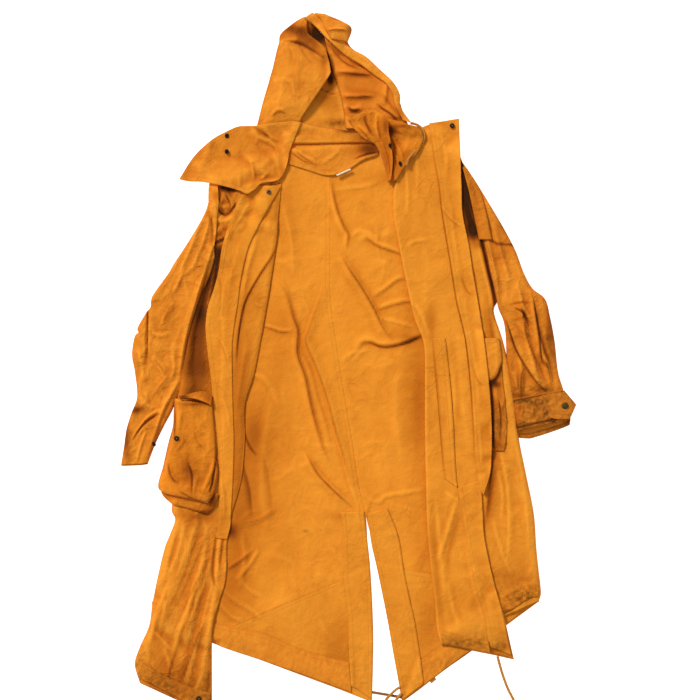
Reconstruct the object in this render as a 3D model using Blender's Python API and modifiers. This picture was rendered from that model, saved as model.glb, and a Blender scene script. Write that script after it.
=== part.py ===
"""Canvas fishtail parka, laid open on its back with the hood up.

Metres, +Z up. The floor is z = 0 and +Y runs to the hood. Left and right are as seen from
above. All sizes and tables are in millimetres and become metres when a mesh is made.

A cut piece is a sheet: a table with a row for each section across the piece, each row
holding the x, y of its points from the left edge to the right edge. Every sheet is laid on
the pile of pieces under it, so the order of the calls at the end is the order of the layers.
"""
import math

import bmesh
import bpy
import numpy as np

MM = 0.001
WALL = 1.2            # wall of the canvas
HALF = WALL / 2
GAP = 0.3             # between pieces that lie on each other
SEAM = 0.4            # between pieces that meet edge to edge
SLANT = 1.08          # a sloping wall is this much taller than its thickness

CELL = 2.5            # square cells of the pile
REACH_X = 480.0       # the pile covers +-REACH_X by +-REACH_Y
REACH_Y = 740.0
DRAPE_SLOPE = 0.5     # steepest fall of a sheet beside what it lies on
DRAPE_STEPS = 16
LAY_PASSES = 8
SAMPLE_STEP = 0.5     # spacing of the points that feel for the pile, in cells

STUD_RADIUS = 6.5
STUD_HEIGHT = 3.0
CORD_RADIUS = 2.75

CORD_STEP = 5.0       # length of a cord's straight pieces, in radii
RING_SPREAD = 0.35    # below 1 sends more of a flattened ring's points to its two ends
RING_CROWN = 0.75     # below 1 makes a flattened ring's top and underside flatter

CANVAS = (0.79, 0.28, 0.022)
CANVAS_SHADE = (0.60, 0.17, 0.012)
CANVAS_WORN = (0.42, 0.13, 0.010)
BRASS_DARK = (0.045, 0.030, 0.022)
TAPE_WHITE = (0.85, 0.80, 0.68)
CORD_TAN = (0.70, 0.36, 0.09)


# ---------------------------------------------------------------- scene and materials

def clear_scene():
    for thing in list(bpy.data.objects):
        bpy.data.objects.remove(thing, do_unlink=True)


def new_material(name, colour, roughness, metallic=0.0):
    material = bpy.data.materials.new(name)
    material.use_nodes = True
    shader = material.node_tree.nodes["Principled BSDF"]
    shader.inputs["Base Color"].default_value = (*colour, 1.0)
    shader.inputs["Roughness"].default_value = roughness
    shader.inputs["Metallic"].default_value = metallic
    return material


def add_object(name, data, material):
    thing = bpy.data.objects.new(name, data)
    thing.data.materials.append(material)
    COAT.objects.link(thing)
    return thing


# ---------------------------------------------------------------- the pile

class Pile:
    """Height that the pieces laid so far reach, on square cells, in millimetres."""

    def __init__(self):
        self.across = int(2 * REACH_X / CELL) + 1
        self.along = int(2 * REACH_Y / CELL) + 1
        self.top = np.zeros((self.across, self.along))

    def cells(self, x, y):
        column = np.rint((x + REACH_X) / CELL).astype(int)
        row = np.rint((y + REACH_Y) / CELL).astype(int)
        return np.clip(column, 0, self.across - 1), np.clip(row, 0, self.along - 1)

    @staticmethod
    def spread(level):
        """Each cell takes the greatest of itself and its eight neighbours."""
        wide = np.pad(level, 1, mode="edge")
        shifts = [wide[i:i + level.shape[0], j:j + level.shape[1]] for i in range(3) for j in range(3)]
        return np.max(shifts, axis=0)

    def support(self):
        """Lowest middle surface of the next sheet: over the pile, draped down beside it."""
        level = np.where(self.top > 0, self.top + GAP + HALF * (SLANT - 1), 0)
        for _ in range(DRAPE_STEPS):
            level = np.maximum(level, self.spread(level) - DRAPE_SLOPE * CELL)
        return level + HALF

    def height(self, x, y, radius):
        """Greatest height of the pile within the radius of a point."""
        angle, share = np.meshgrid(np.linspace(0, 2 * math.pi, 16), np.linspace(0, 1, 6))
        around_x = x + radius * share * np.cos(angle)
        around_y = y + radius * share * np.sin(angle)
        return float(self.top[self.cells(around_x, around_y)].max())

    def add(self, x, y, z):
        """Take in a sheet's grid, given as the heights of its middle surface."""
        px, py, pz, _, _ = facet_samples(x, y, z)
        np.maximum.at(self.top, self.cells(px, py), pz + HALF * SLANT)

    def lay(self, x, y, rise):
        """Middle heights of a sheet that rests on the pile and stands up from it by its rise."""
        field = self.support()
        z = field[self.cells(x, y)] + rise
        for _ in range(LAY_PASSES):
            px, py, pz, corners, weights = facet_samples(x, y, z)
            missing = np.maximum(field[self.cells(px, py)] - pz, 0)
            share = weights / (weights ** 2).sum(axis=1, keepdims=True)
            need = missing[:, :, None] * share[None]
            lift = np.zeros(z.size)
            np.maximum.at(lift, np.broadcast_to(corners[:, None], need.shape), need)
            z = z + lift.reshape(z.shape)
        z = z - self.spare(x, y, z)
        self.add(x, y, z)
        return z

    def spare(self, x, y, z):
        """How far a sheet can come down before it touches the pile or the floor."""
        px, py, pz, _, _ = facet_samples(x, y, z)
        under = self.top[self.cells(px, py)]
        contact = np.where(under > 0, under + GAP + HALF * SLANT, HALF)
        return max(0.0, (pz - contact).min())


def barycentric(parts):
    """Weights of a lattice of points over a triangle."""
    rows = [(i, j, parts - i - j) for i in range(parts + 1) for j in range(parts + 1 - i)]
    return np.array(rows) / parts


def facet_samples(x, y, z):
    """Points all over a grid's facets, with each square cut along both diagonals."""
    index = np.arange(x.size).reshape(x.shape)
    a, b = index[:-1, :-1].ravel(), index[:-1, 1:].ravel()
    c, d = index[1:, 1:].ravel(), index[1:, :-1].ravel()
    halves = ((a, b, c), (a, c, d), (a, b, d), (b, c, d))
    corners = np.concatenate([np.stack(half, axis=1) for half in halves])
    longest = max(np.hypot(np.diff(x, axis=k), np.diff(y, axis=k)).max() for k in (0, 1))
    weights = barycentric(math.ceil(longest / (SAMPLE_STEP * CELL)))
    flat = [grid.ravel()[corners] @ weights.T for grid in (x, y, z)]
    return flat[0], flat[1], flat[2], corners, weights


# ---------------------------------------------------------------- sheets, tubes, studs, cords

def resample(row, columns, inset):
    """Points across a section: `columns` of them over its spans, extra ones near its left end."""
    points = np.array(row, float).reshape(-1, 2)
    stations = np.linspace(0, len(points) - 1, columns)
    x = np.interp(stations, np.arange(len(points)), points[:, 0])
    y = np.interp(stations, np.arange(len(points)), points[:, 1])
    if inset:
        length = math.hypot(points[-1, 0] - points[0, 0], points[-1, 1] - points[0, 1])
        extra = np.array(inset) / length
        fractions = np.concatenate([extra, np.linspace(extra[-1], 1, columns + 1)[1:]])
        x = points[0, 0] + fractions * (points[-1, 0] - points[0, 0])
        y = points[0, 1] + fractions * (points[-1, 1] - points[0, 1])
    return x, y


def sections(rows, columns, inset=(), between=0):
    """Grid of points from a table's sections, with `between` more sections in each gap."""
    table = np.array(rows, float)
    steps = np.linspace(0, len(table) - 1, (len(table) - 1) * (between + 1) + 1)
    first = np.minimum(steps.astype(int), len(table) - 2)
    share = (steps - first)[:, None]
    pairs = [resample(row, columns, inset) for row in table[first] * (1 - share) + table[first + 1] * share]
    return np.array([pair[0] for pair in pairs]), np.array([pair[1] for pair in pairs])


def swell(x, y, height, roll, sewn):
    """Rise that starts from 0 at the sewn edges of a sheet and is full a `roll` away from them."""
    edges = {"left": (x[:, :1], y[:, :1]), "right": (x[:, -1:], y[:, -1:]),
             "top": (x[:1], y[:1]), "bottom": (x[-1:], y[-1:])}
    off = np.min([np.hypot(x - edges[name][0], y - edges[name][1]) for name in sewn], axis=0)
    return height * np.sqrt(1 - (1 - np.clip(off / roll, 0, 1)) ** 2)


def ridges(x, y, table):
    """Rise of soft folds, from rows of x, y at each end, height and half width."""
    rise = np.zeros(x.shape)
    for x0, y0, x1, y1, height, half_width in table:
        run_x, run_y = x1 - x0, y1 - y0
        along = ((x - x0) * run_x + (y - y0) * run_y) / (run_x ** 2 + run_y ** 2)
        along = np.clip(along, 0, 1)
        off = np.hypot(x - x0 - along * run_x, y - y0 - along * run_y)
        rise = np.maximum(rise, height * np.clip(1 - (off / half_width) ** 2, 0, 1) ** 2)
    return rise


def grid_mesh(name, x, y, z, weld=False):
    """Open surface through a grid of points, the last column welded to the first on a tube."""
    bm = bmesh.new()
    bmesh.ops.create_grid(bm, x_segments=x.shape[1] - 1, y_segments=x.shape[0] - 1, size=1)
    bm.verts.ensure_lookup_table()
    places = np.stack([x, y, z], axis=-1).reshape(-1, 3) * MM
    for vertex, place in zip(bm.verts, places):
        vertex.co = place
    if weld:
        bmesh.ops.remove_doubles(bm, verts=bm.verts, dist=0.00001)
    bmesh.ops.recalc_face_normals(bm, faces=bm.faces)
    mesh = bpy.data.meshes.new(name)
    bm.to_mesh(mesh)
    bm.free()
    return mesh


def add_cloth(name, mesh, colour):
    sheet = add_object(name, mesh, new_material(name + "_canvas", colour, 0.85))
    wall = sheet.modifiers.new("wall", "SOLIDIFY")
    wall.thickness = WALL * MM
    wall.offset = 0.0
    return sheet


def sheet(name, rows, columns, colour=CANVAS, rise=(), folds=(), between=0, on_floor=False):
    """Cut piece laid on the pile, or flat on the floor beside the pieces that it is sewn to.

    `rise` is the height, roll and sewn edges of its swell.
    """
    x, y = sections(rows, columns, between=between)
    lift = ridges(x, y, folds)
    if rise:
        lift = np.maximum(lift, swell(x, y, *rise))
    if on_floor:
        z = HALF + lift
        PILE.add(x, y, z)
    else:
        z = PILE.lay(x, y, lift)
    return add_cloth(name, grid_mesh(name, x, y, z), colour)


def tube_ring(row, segments):
    """Flattened ring between two points: round ends, flat underside, top and bottom given."""
    outer_x, outer_y, inner_x, inner_y, low, high = row
    radius = (high - low) / 2
    width = math.hypot(inner_x - outer_x, inner_y - outer_y)
    across = ((inner_x - outer_x) / width, (inner_y - outer_y) / width)
    half = width / 2 - radius
    places = []
    for k in range(segments):
        turn = 2 * math.pi * k / segments
        swing = math.copysign(abs(math.cos(turn)) ** RING_SPREAD, math.cos(turn))
        lift = math.copysign(abs(math.sin(turn)) ** RING_CROWN, math.sin(turn))
        run = half * swing + radius * math.cos(turn)
        place_x = (outer_x + inner_x) / 2 + run * across[0]
        place_y = (outer_y + inner_y) / 2 + run * across[1]
        places.append((place_x, place_y, low + radius + radius * lift))
    places.append(places[0])
    return places


def tube(name, rows, segments, colour, folds=()):
    """Open cloth tube through flattened rings of its wall's middle, taken into the pile."""
    rings = np.array([tube_ring(row, segments) for row in rows])
    x, y, z = rings[..., 0], rings[..., 1], rings[..., 2]
    upper = z > (z.min(axis=1, keepdims=True) + z.max(axis=1, keepdims=True)) / 2 + 1
    z = z + np.where(upper, ridges(x, y, folds), 0)
    PILE.add(x, y, z)
    return add_cloth(name, grid_mesh(name, x, y, z, weld=True), colour)


def stud(name, x, y):
    """Press stud cap lying on the pile."""
    base = PILE.height(x, y, STUD_RADIUS) + GAP
    bm = bmesh.new()
    bmesh.ops.create_cone(bm, cap_ends=True, segments=14, depth=STUD_HEIGHT * MM,
                          radius1=STUD_RADIUS * MM, radius2=0.75 * STUD_RADIUS * MM)
    bmesh.ops.translate(bm, verts=bm.verts, vec=(x * MM, y * MM, (base + STUD_HEIGHT / 2) * MM))
    mesh = bpy.data.meshes.new(name)
    bm.to_mesh(mesh)
    bm.free()
    return add_object(name, mesh, new_material(name + "_brass", BRASS_DARK, 0.4, 0.9))


def smooth_route(route, step):
    """Points every `step` along a Catmull-Rom curve through the route's points."""
    route = np.array(route, float)
    padded = np.vstack([2 * route[0] - route[1], route, 2 * route[-1] - route[-2]])
    dense = []
    for p0, p1, p2, p3 in zip(padded, padded[1:], padded[2:], padded[3:]):
        for t in np.linspace(0, 1, 12, endpoint=False):
            cubic = 2 * p1 + (p2 - p0) * t + (2 * p0 - 5 * p1 + 4 * p2 - p3) * t ** 2
            dense.append((cubic + (3 * p1 - p0 - 3 * p2 + p3) * t ** 3) / 2)
    dense = np.array(dense + [route[-1]])
    gone = np.append(0, np.cumsum(np.linalg.norm(np.diff(dense, axis=0), axis=1)))
    count = max(3, round(gone[-1] / step) + 1)
    at = np.linspace(0, gone[-1], count)
    return [tuple(np.interp(s, gone, dense[:, k]) for k in range(3)) for s in at]


def cord(name, route, radius=CORD_RADIUS):
    """Drawcord through a route of x, y, z."""
    points = smooth_route(route, CORD_STEP * radius)
    curve = bpy.data.curves.new(name, "CURVE")
    curve.dimensions = "3D"
    curve.bevel_depth = radius * MM
    curve.bevel_resolution = 2
    curve.use_fill_caps = True
    spline = curve.splines.new("POLY")
    spline.points.add(len(points) - 1)
    for point, place in zip(spline.points, points):
        point.co = (place[0] * MM, place[1] * MM, place[2] * MM, 1.0)
    return add_object(name, curve, new_material(name + "_cotton", CORD_TAN, 0.9))


# ---------------------------------------------------------------- back and fishtail

SEAM_BACK = [  # centre-back seam, neck to vent: x, y
    (-34, 432), (-34, 352), (-34, 288), (-34, 222), (-34, 152), (-30, 102),
    (-21, 42), (-12, -18), (-2, -78), (10, -148), (21, -224), (36, -296)]
VENT_LEFT = [(40, -358), (41, -384), (42, -408)]      # left edge of the vent, down to the tail
VENT_RIGHT = [(51, -358), (55, -380), (59, -400)]     # right edge of the vent
TAIL_SEAM = 0.65      # gap at the slanting seam, along Y
TAIL_SEAM_LEFT = [(-251, -556), (42, -408)]
TAIL_SEAM_RIGHT = [(59, -400), (185, -422), (383, -448)]


def back_left():
    outer = [  # side x, y and the middle of the half x, y
        (-264, 360, -133, 416), (-264, 312, -145, 342), (-264, 260, -149, 276),
        (-263, 206, -151, 216), (-280, 152, -159, 152), (-296, 102, -165, 102),
        (-310, 42, -165, 42), (-320, -18, -167, -18), (-330, -78, -167, -78),
        (-337, -148, -163, -148), (-339, -224, -159, -224), (-341, -296, -155, -296),
        (-363, -364, -163, -368), (-383, -448, -205, -458), (-393, -498, -251, -556)]
    rows = [(*side, *inner) for side, inner in zip(outer, SEAM_BACK + VENT_LEFT)]
    folds = [  # x, y to x, y, height, half width
        (-75, 12, -18, -268, 5, 30),
        (-101, 32, -62, -140, 4, 26),
        (-38, 330, -60, 120, 3, 30),
        (-220, -60, -180, -300, 3, 30)]
    sheet("back_left", rows, 9, folds=folds, between=1, on_floor=True)


def back_right():
    outer = [  # the middle of the half x, y and side x, y
        (105, 432, 222, 416), (101, 362, 233.4, 352), (105, 296, 243.2, 298),
        (109, 232, 251.8, 251), (121, 160, 274, 164), (135, 102, 289, 110),
        (145, 42, 308.6, 48), (157, -18, 320, -18), (165, -78, 329, -78),
        (177, -148, 341, -148), (189, -224, 357, -224), (205, -296, 371, -296),
        (209, -364, 376, -364), (197, -392, 379, -408), (185, -422, 383, -448)]
    seam = [(x + SEAM, y) for x, y in SEAM_BACK] + VENT_RIGHT
    rows = [(*inner, *side) for inner, side in zip(seam, outer)]
    folds = [
        (-12, 225, 85, 60, 6, 26),
        (60, 280, 112, 216, 5, 22),
        (28, 44, 138, 62, 4, 24),
        (85, 108, 135, 130, 3, 22),
        (60, -40, 90, -230, 3, 30)]
    sheet("back_right", rows, 9, folds=folds, between=1, on_floor=True)


def tail(name, seam, columns):
    """Fishtail piece under its seam: columns hold x at the seam, then x, y at the hem."""
    seam_x, seam_y = zip(*seam)
    rows = [(x, np.interp(x, seam_x, seam_y) - TAIL_SEAM, hem_x, hem_y) for x, hem_x, hem_y in columns]
    sheet(name, rows, 4, on_floor=True)


def tails():
    tail("tail_left", TAIL_SEAM_LEFT,
         [(-247, -246, -560), (-171, -167, -588), (-95, -89, -617), (-25, -19, -644), (42, 48, -672)])
    tail("tail_right", TAIL_SEAM_RIGHT,
         [(60, 113, -672), (122, 147, -644), (185, 193, -608), (250, 247, -570),
          (320, 315, -520), (382, 383, -470)])


def back_hem():
    left = [  # top x, y and bottom x, y of the drawcord channel
        (-391, -470, -391, -498), (-269, -512, -269, -550), (-171, -534, -171, -584),
        (-81, -570, -81, -617), (4, -592, 8, -653)]
    right = [
        (147, -586, 121, -662), (187, -558, 180, -616), (245, -512, 246, -567),
        (315, -464, 315, -517), (370, -438, 378, -467)]
    sheet("hem_band_back_left", left, 3)
    sheet("hem_band_back_right", right, 3)
    vent_left = [  # left x, y and right x, y
        (-13, -292, 33, -290), (-9, -350, 38, -350), (-7, -424, 41, -420),
        (1, -498, 44, -498), (3, -568, 46, -568), (7, -638, 48, -664)]
    vent_right = [
        (42, -294, 80, -284), (52, -350, 102, -342), (62, -410, 115, -422),
        (82, -504, 133, -504), (96, -578, 144, -572), (112, -666, 152, -634)]
    sheet("vent_facing_left", vent_left, 3)
    sheet("vent_facing_right", vent_right, 3)


# ---------------------------------------------------------------- fronts

ROLL = 14.0           # width of the roll at the side of a front
OPENING_FALL = 0.85   # share of the hollow that a front loses by its opening edge
SIDE_INSET = (0, 3, 9, 20)
TURN_RADIUS = 3.0     # of the right front's turned-back fold
TURN_RISE = 3.0
TURN_FADE = 22.0      # distance in which that rise falls to about a third
TURN_ANGLES = (45, 90, 135)


def hollow_rise(x, y, hollow, edge):
    """Rise over the hollow body: a roll up from the side, then a fall to the opening.

    `edge` is 0 where the side is closed down to the back and 1 along the open armhole.
    """
    off = np.hypot(x - x[:, :1], y - y[:, :1])
    roll = np.sqrt(1 - np.clip(1 - off / ROLL, 0, 1) ** 2)
    fall = 1 - OPENING_FALL * off / off[:, -1:]
    return np.array(hollow)[:, None] * np.maximum(roll, np.array(edge)[:, None]) * fall


def front_left():
    table = [  # side x, y; opening edge x, y; hollow; open armhole
        (-263.7, 358, -123, 412, 0, 1), (-263.7, 312, -138, 322, 13, 1),
        (-263.7, 260, -144, 256, 13, 1), (-262.6, 206, -152, 196, 12, 0.6),
        (-281, 152, -160, 142, 12, 0), (-297, 102, -169, 88, 12, 0),
        (-311, 42, -178, 32, 12, 0), (-321, -18, -190, -24, 12, 0),
        (-331, -78, -207, -82, 11, 0), (-338, -148, -208, -148, 10, 0),
        (-340, -224, -214, -224, 10, 0), (-342, -298, -231, -294, 10, 0),
        (-364, -364, -242, -358, 9, 0), (-378, -422, -243, -428, 9, 0),
        (-389, -472, -257, -472, 9, 0), (-395, -518, -269, -520, 8, 0),
        (-415, -562, -271, -568, 8, 0), (-425, -596, -271, -636, 7, 0),
        (-413, -628, -271, -700, 6, 0)]
    x, y = sections([row[:4] for row in table], 6, SIDE_INSET)
    folds = [
        (-298, -310, -379, -537, 7, 24),
        (-284, -388, -321, -548, 5, 20),
        (-262, -448, -296, -660, 8, 24)]
    rise = hollow_rise(x, y, [row[4] for row in table], [row[5] for row in table])
    z = PILE.lay(x, y, rise + ridges(x, y, folds))
    add_cloth("front_left", grid_mesh("front_left", x, y, z), CANVAS)


def front_left_strips():
    zip_facing = [
        (-163, 342, -134, 346), (-195, 282, -140, 282), (-215, 232, -145, 232),
        (-231, 182, -153, 182), (-239, 126, -162, 126), (-247, 52, -173, 52),
        (-249, -18, -188, -18), (-249, -78, -205, -78), (-247, -148, -206, -148),
        (-249, -228, -212, -226), (-253, -298, -231, -296)]
    storm_flap = [
        (-191, 362, -133, 358), (-213, 336, -151, 326), (-233, 282, -175, 284),
        (-251, 232, -197, 238), (-264, 188, -209, 192), (-279, 122, -220, 126),
        (-281, 52, -229, 52), (-275, -18, -230, -18), (-267, -78, -230, -78),
        (-259, -148, -227, -148), (-257, -228, -229, -228), (-259, -308, -233, -308),
        (-263, -338, -237, -332)]
    hem = [  # top x, y and bottom x, y
        (-421, -586, -410, -626), (-373, -614, -363, -650), (-325, -636, -319, -673),
        (-273, -654, -273, -696)]
    sheet("zip_facing_left", zip_facing, 3, CANVAS_SHADE)
    sheet("storm_flap_left", storm_flap, 3)
    sheet("hem_band_front_left", hem, 3, CANVAS_WORN)


def pocket_left():
    gusset = [
        (-369, -228, -267, -244), (-372, -248, -267, -264),
        (-365, -264, -273, -284), (-349, -275, -283, -294)]
    bag = [
        (-331, -62, -269, -76), (-342, -92, -267, -104), (-347, -124, -265, -140),
        (-359, -164, -261, -180), (-369, -204, -263, -216), (-378, -240, -267, -252),
        (-363, -253, -279, -272)]
    flap = [
        (-333, -59, -290, -50, -270, -54), (-330, -67, -300, -73, -270, -80)]
    sheet("pocket_gusset_left", gusset, 6, CANVAS_SHADE)
    sheet("pocket_left", bag, 9, CANVAS_SHADE, rise=(10, 12, ("left", "right", "bottom")))
    sheet("pocket_flap_left", flap, 5, CANVAS_WORN)


def front_right():
    table = [  # side x, y; fold x, y; front edge x, y; hollow; open armhole
        (221.4, 415.4, 137, 470, 165, 480, 0, 1), (233.4, 352, 113, 400, 171, 418, 13, 1),
        (243.2, 298, 94, 356, 182, 356, 13, 1), (251.8, 251, 93, 302, 189, 300, 13, 0.8),
        (274.4, 164, 105, 232, 199, 236, 11, 0), (289.8, 112, 121, 162, 211, 164, 10, 0),
        (309.4, 50, 135, 100, 225, 96, 10, 0), (320.8, -16, 153, 42, 235, 28, 10, 0),
        (330, -76, 155, -44, 245, -46, 10, 0), (342, -144, 155, -124, 251, -128, 9, 0),
        (358, -224, 157, -224, 261, -224, 9, 0), (372, -296, 159, -308, 269, -296, 9, 0),
        (377, -364, 164, -380, 275, -366, 8, 0), (381, -412, 173, -448, 293, -432, 7, 0),
        (386, -452, 180, -512, 311, -502, 6, 0), (382, -468, 187, -554, 331, -586, 5, 0)]
    hollow = [row[6] for row in table]
    edge = [row[7] for row in table]
    side = np.array([row[0:2] for row in table])
    fold = np.array([row[2:4] for row in table])
    opening = np.array([row[4:6] for row in table])
    outward = (fold - side) / np.linalg.norm(fold - side, axis=1, keepdims=True)
    crease = fold - TURN_RADIUS * outward
    under_x, under_y = sections(np.hstack([side, crease]), 6, SIDE_INSET)
    under_z = PILE.lay(under_x, under_y, hollow_rise(under_x, under_y, hollow, edge))
    front_right_outside()
    over_x, over_y = sections(np.hstack([crease, opening]), 6)
    off = np.hypot(over_x - over_x[:, :1], over_y - over_y[:, :1])
    over_z = PILE.lay(over_x, over_y, TURN_RISE * np.exp(-off / TURN_FADE))
    turn = np.radians(TURN_ANGLES)
    turn_x = crease[:, :1] + TURN_RADIUS * np.sin(turn) * outward[:, :1]
    turn_y = crease[:, 1:] + TURN_RADIUS * np.sin(turn) * outward[:, 1:]
    turn_z = under_z[:, -1:] + (over_z[:, :1] - under_z[:, -1:]) * (1 - np.cos(turn)) / 2
    x = np.hstack([under_x, turn_x, over_x])
    y = np.hstack([under_y, turn_y, over_y])
    z = np.hstack([under_z, turn_z, over_z])
    add_cloth("front_right", grid_mesh("front_right", x, y, z), CANVAS)


def front_right_outside():
    """Pieces on the right front's outside, under the part that is turned back."""
    hem = [(293, -472, 298, -502), (329, -450, 335, -480), (355, -438, 361, -463), (379, -433, 381, -456)]
    bag = [(229, -24, 307, -24), (235, -76, 313, -76), (241, -128, 315, -128), (247, -164, 311, -168)]
    sheet("hem_band_side_right", hem, 3, CANVAS_WORN)
    sheet("pocket_right", bag, 7, CANVAS_WORN, rise=(4, 8, ("left", "right", "bottom")))


def front_right_strips():
    storm_flap = [
        (155, 477, 223, 494), (161, 418, 221, 418), (171, 356, 226, 352), (179, 300, 230, 296),
        (189, 236, 242, 236), (201, 164, 255, 160), (215, 96, 266, 92), (225, 28, 275, 24),
        (235, -46, 283, -46), (241, -128, 288, -128), (249, -188, 285, -196), (255, -244, 269, -258)]
    tape = [
        (168, 56, 196, 56), (172, 4, 200, 4), (181, -98, 208, -98), (189, -186, 215, -192),
        (194, -224, 219, -240)]
    hem = [(184, -526, 188.6, -552), (245, -540, 251, -567), (281, -548, 285, -574)]
    facing = [
        (221, -232, 259, -228), (227, -284, 266, -288), (235, -340, 271, -344),
        (251, -424, 288, -424), (271, -494, 306, -496), (283, -560, 322, -578)]
    sheet("storm_flap_right", storm_flap, 3)
    sheet("facing_tape_right", tape, 3)
    sheet("hem_band_front_right", hem, 3, CANVAS_WORN)
    sheet("facing_hem_right", facing, 3)


# ---------------------------------------------------------------- sleeves

CUFF_CLEAR = 1.7      # from the sleeve's wall to the band's wall, middle to middle
SLEEVE_SEGMENTS = 16


def sleeve_left():
    rows = [  # outer x, y; inner x, y; underside; top
        (-265, 358, -265, 210, HALF, 16.2), (-279, 322, -277, 172, HALF, 17),
        (-315, 252, -289, 136, HALF, 17.5), (-351, 196, -301, 106, HALF, 17.5),
        (-389, 138, -309, 66, HALF, 18), (-423, 76, -317, 20, HALF, 18.5),
        (-429, 22, -323, -16, HALF, 18), (-423, -38, -335, -60, HALF, 17),
        (-427, -88, -355, -100, HALF, 16), (-443, -144, -381, -152, HALF, 15),
        (-453, -198, -399, -196, HALF, 14)]
    folds = [(-300, 230, -380, 40, 4, 26), (-360, 60, -345, -20, 4, 22)]
    tube("sleeve_left", rows, SLEEVE_SEGMENTS, CANVAS, folds)


def sleeve_right():
    rows = [
        (222.5, 414.5, 252.5, 252.3, HALF, 16.2), (251, 372, 264, 220, HALF, 17),
        (283, 322, 276, 184, HALF, 17.5), (312, 272, 286, 150, HALF, 18),
        (337, 214, 297, 112, HALF, 18), (364, 158, 311, 74, HALF, 18.5),
        (399, 118, 322, 32, HALF, 18), (412, 44, 328, -18, HALF, 17),
        (420, -20, 335, -60, HALF, 16),
        (431, -52, 341, -72, HALF + CUFF_CLEAR, 15), (441, -118, 346, -140, HALF + CUFF_CLEAR, 15)]
    folds = [(340, 130, 372, 10, 4, 24), (275, 280, 320, 150, 4, 26)]
    tube("sleeve_right", rows, SLEEVE_SEGMENTS, CANVAS, folds)
    band = [widened(row, CUFF_CLEAR) for row in rows[-2:]]
    tube("cuff_band_right", band, SLEEVE_SEGMENTS, CANVAS_WORN)
    tab = [  # top x, y and bottom x, y
        (375, -62, 379, -90), (409, -57, 415, -86), (437, -54, 441, -88), (454, -72, 455, -76)]
    sheet("cuff_tab_right", tab, 3, CANVAS_WORN)


def widened(row, clear):
    """Section of a band that goes round a section of a sleeve."""
    outer_x, outer_y, inner_x, inner_y, low, high = row
    width = math.hypot(outer_x - inner_x, outer_y - inner_y)
    step_x = clear * (outer_x - inner_x) / width
    step_y = clear * (outer_y - inner_y) / width
    return (outer_x + step_x, outer_y + step_y, inner_x - step_x, inner_y - step_y,
            low - clear, high + clear)


def shoulder_straps():
    left = [(-274, 352, -259, 352), (-273, 296, -259, 296), (-271, 240, -260, 240)]
    right = [(229, 388, 239, 380), (237, 342, 255, 338), (247, 296, 267, 298), (253, 260, 277, 266)]
    sheet("shoulder_strap_left", left, 3, CANVAS_SHADE)
    sheet("shoulder_strap_right", right, 3, CANVAS_SHADE)


# ---------------------------------------------------------------- hood and collar

HOOD_MOUTH = 26.0     # rise of the hood's left side over its back, at its open edge


def hood():
    back = [
        (-179, 474, 115, 474), (-167, 526, 103, 524), (-153, 576, 77, 572), (-139, 624, 39, 612),
        (-129, 656, 1, 636), (-111, 676, -13, 664), (-89, 690, -35, 688)]
    sheet("hood_back", back, 8, CANVAS_SHADE, on_floor=True)
    right = [
        (-5, 490, 113, 490), (-13, 534, 95, 530), (-29, 568, 73, 562), (-37, 610, 33, 608),
        (-45, 652, -17, 636)]
    sheet("hood_right", right, 7, CANVAS_SHADE, rise=(9, 40, ("left", "bottom")), between=1)
    left = [
        (-183, 472, -101, 476), (-169, 528, -68, 536), (-155, 578, -35, 582), (-141, 630, -43, 628),
        (-133, 662, -53, 660), (-113, 681, -69, 678), (-91, 694, -80, 691)]
    sheet("hood_left", left, 8, rise=(HOOD_MOUTH, 70, ("left", "top", "bottom")), between=1)
    brim = [  # inner x, y and outer x, y of the drawcord channel
        (-84, 692, -67, 704), (-61, 678, -45, 690), (-43, 656, -33, 668), (-19, 636, -9, 648),
        (11, 618, 21, 632), (37, 605, 49, 614), (61, 578, 77, 586), (83, 552, 101, 560),
        (93, 520, 105, 524), (111, 488, 125, 484)]
    sheet("hood_brim", brim, 3)
    crown = [(-53, 702, -43, 703), (-47, 688, -7, 686), (-39, 668, 8, 672), (-29, 652, -3, 648)]
    sheet("hood_crown", crown, 5, rise=(6, 24, ("left", "right", "top", "bottom")), between=1)


def neck():
    facing = [  # top x, y and bottom x, y
        (-117, 448, -119, 404), (-85, 448, -87, 394), (-49, 448, -49, 382), (-25, 448, -23, 381),
        (5, 448, 5, 394), (33, 450, 29, 410), (65, 452, 61, 422)]
    stand = [
        (-97, 486, -115, 444), (-55, 478, -69, 444), (-15, 470, -29, 445), (29, 464, 13, 446),
        (65, 458, 57, 446)]
    tape = [(-22, 382, -19, 376), (-8, 388, -6, 382), (4, 394, 6, 388)]
    sheet("neck_facing", facing, 4)
    sheet("collar_stand", stand, 5, rise=(5, 14, ("left", "bottom")))
    sheet("hanger_tape", tape, 2, TAPE_WHITE)


def collar_wing_left():
    rows = [
        (-336, 374, -331, 371), (-313, 410, -305, 366), (-287, 440, -269, 361), (-249, 464, -231, 352),
        (-213, 480, -195, 342), (-171, 482, -167, 360), (-131, 484, -137, 360), (-95, 486, -119, 410)]
    folds = [(-205, 470, -150, 380, 4, 24)]
    sheet("collar_wing_left", rows, 5, folds=folds)


def chin_flap():
    under = [
        (77, 498, 125, 478), (85, 464, 127, 448), (93, 432, 123, 420), (95, 400, 115, 398),
        (87, 370, 100, 374)]
    upper = [
        (3, 490, 37, 508), (19, 472, 73, 496), (35, 456, 79, 472), (57, 440, 87, 442),
        (73, 406, 92, 410), (81, 372, 88, 374)]
    sheet("chin_flap_under", under, 5, CANVAS_SHADE, rise=(5, 30, ("left", "top")))
    sheet("chin_flap_upper", upper, 6, CANVAS_SHADE, rise=(9, 40, ("left", "bottom")))


# ---------------------------------------------------------------- studs and cords

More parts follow.
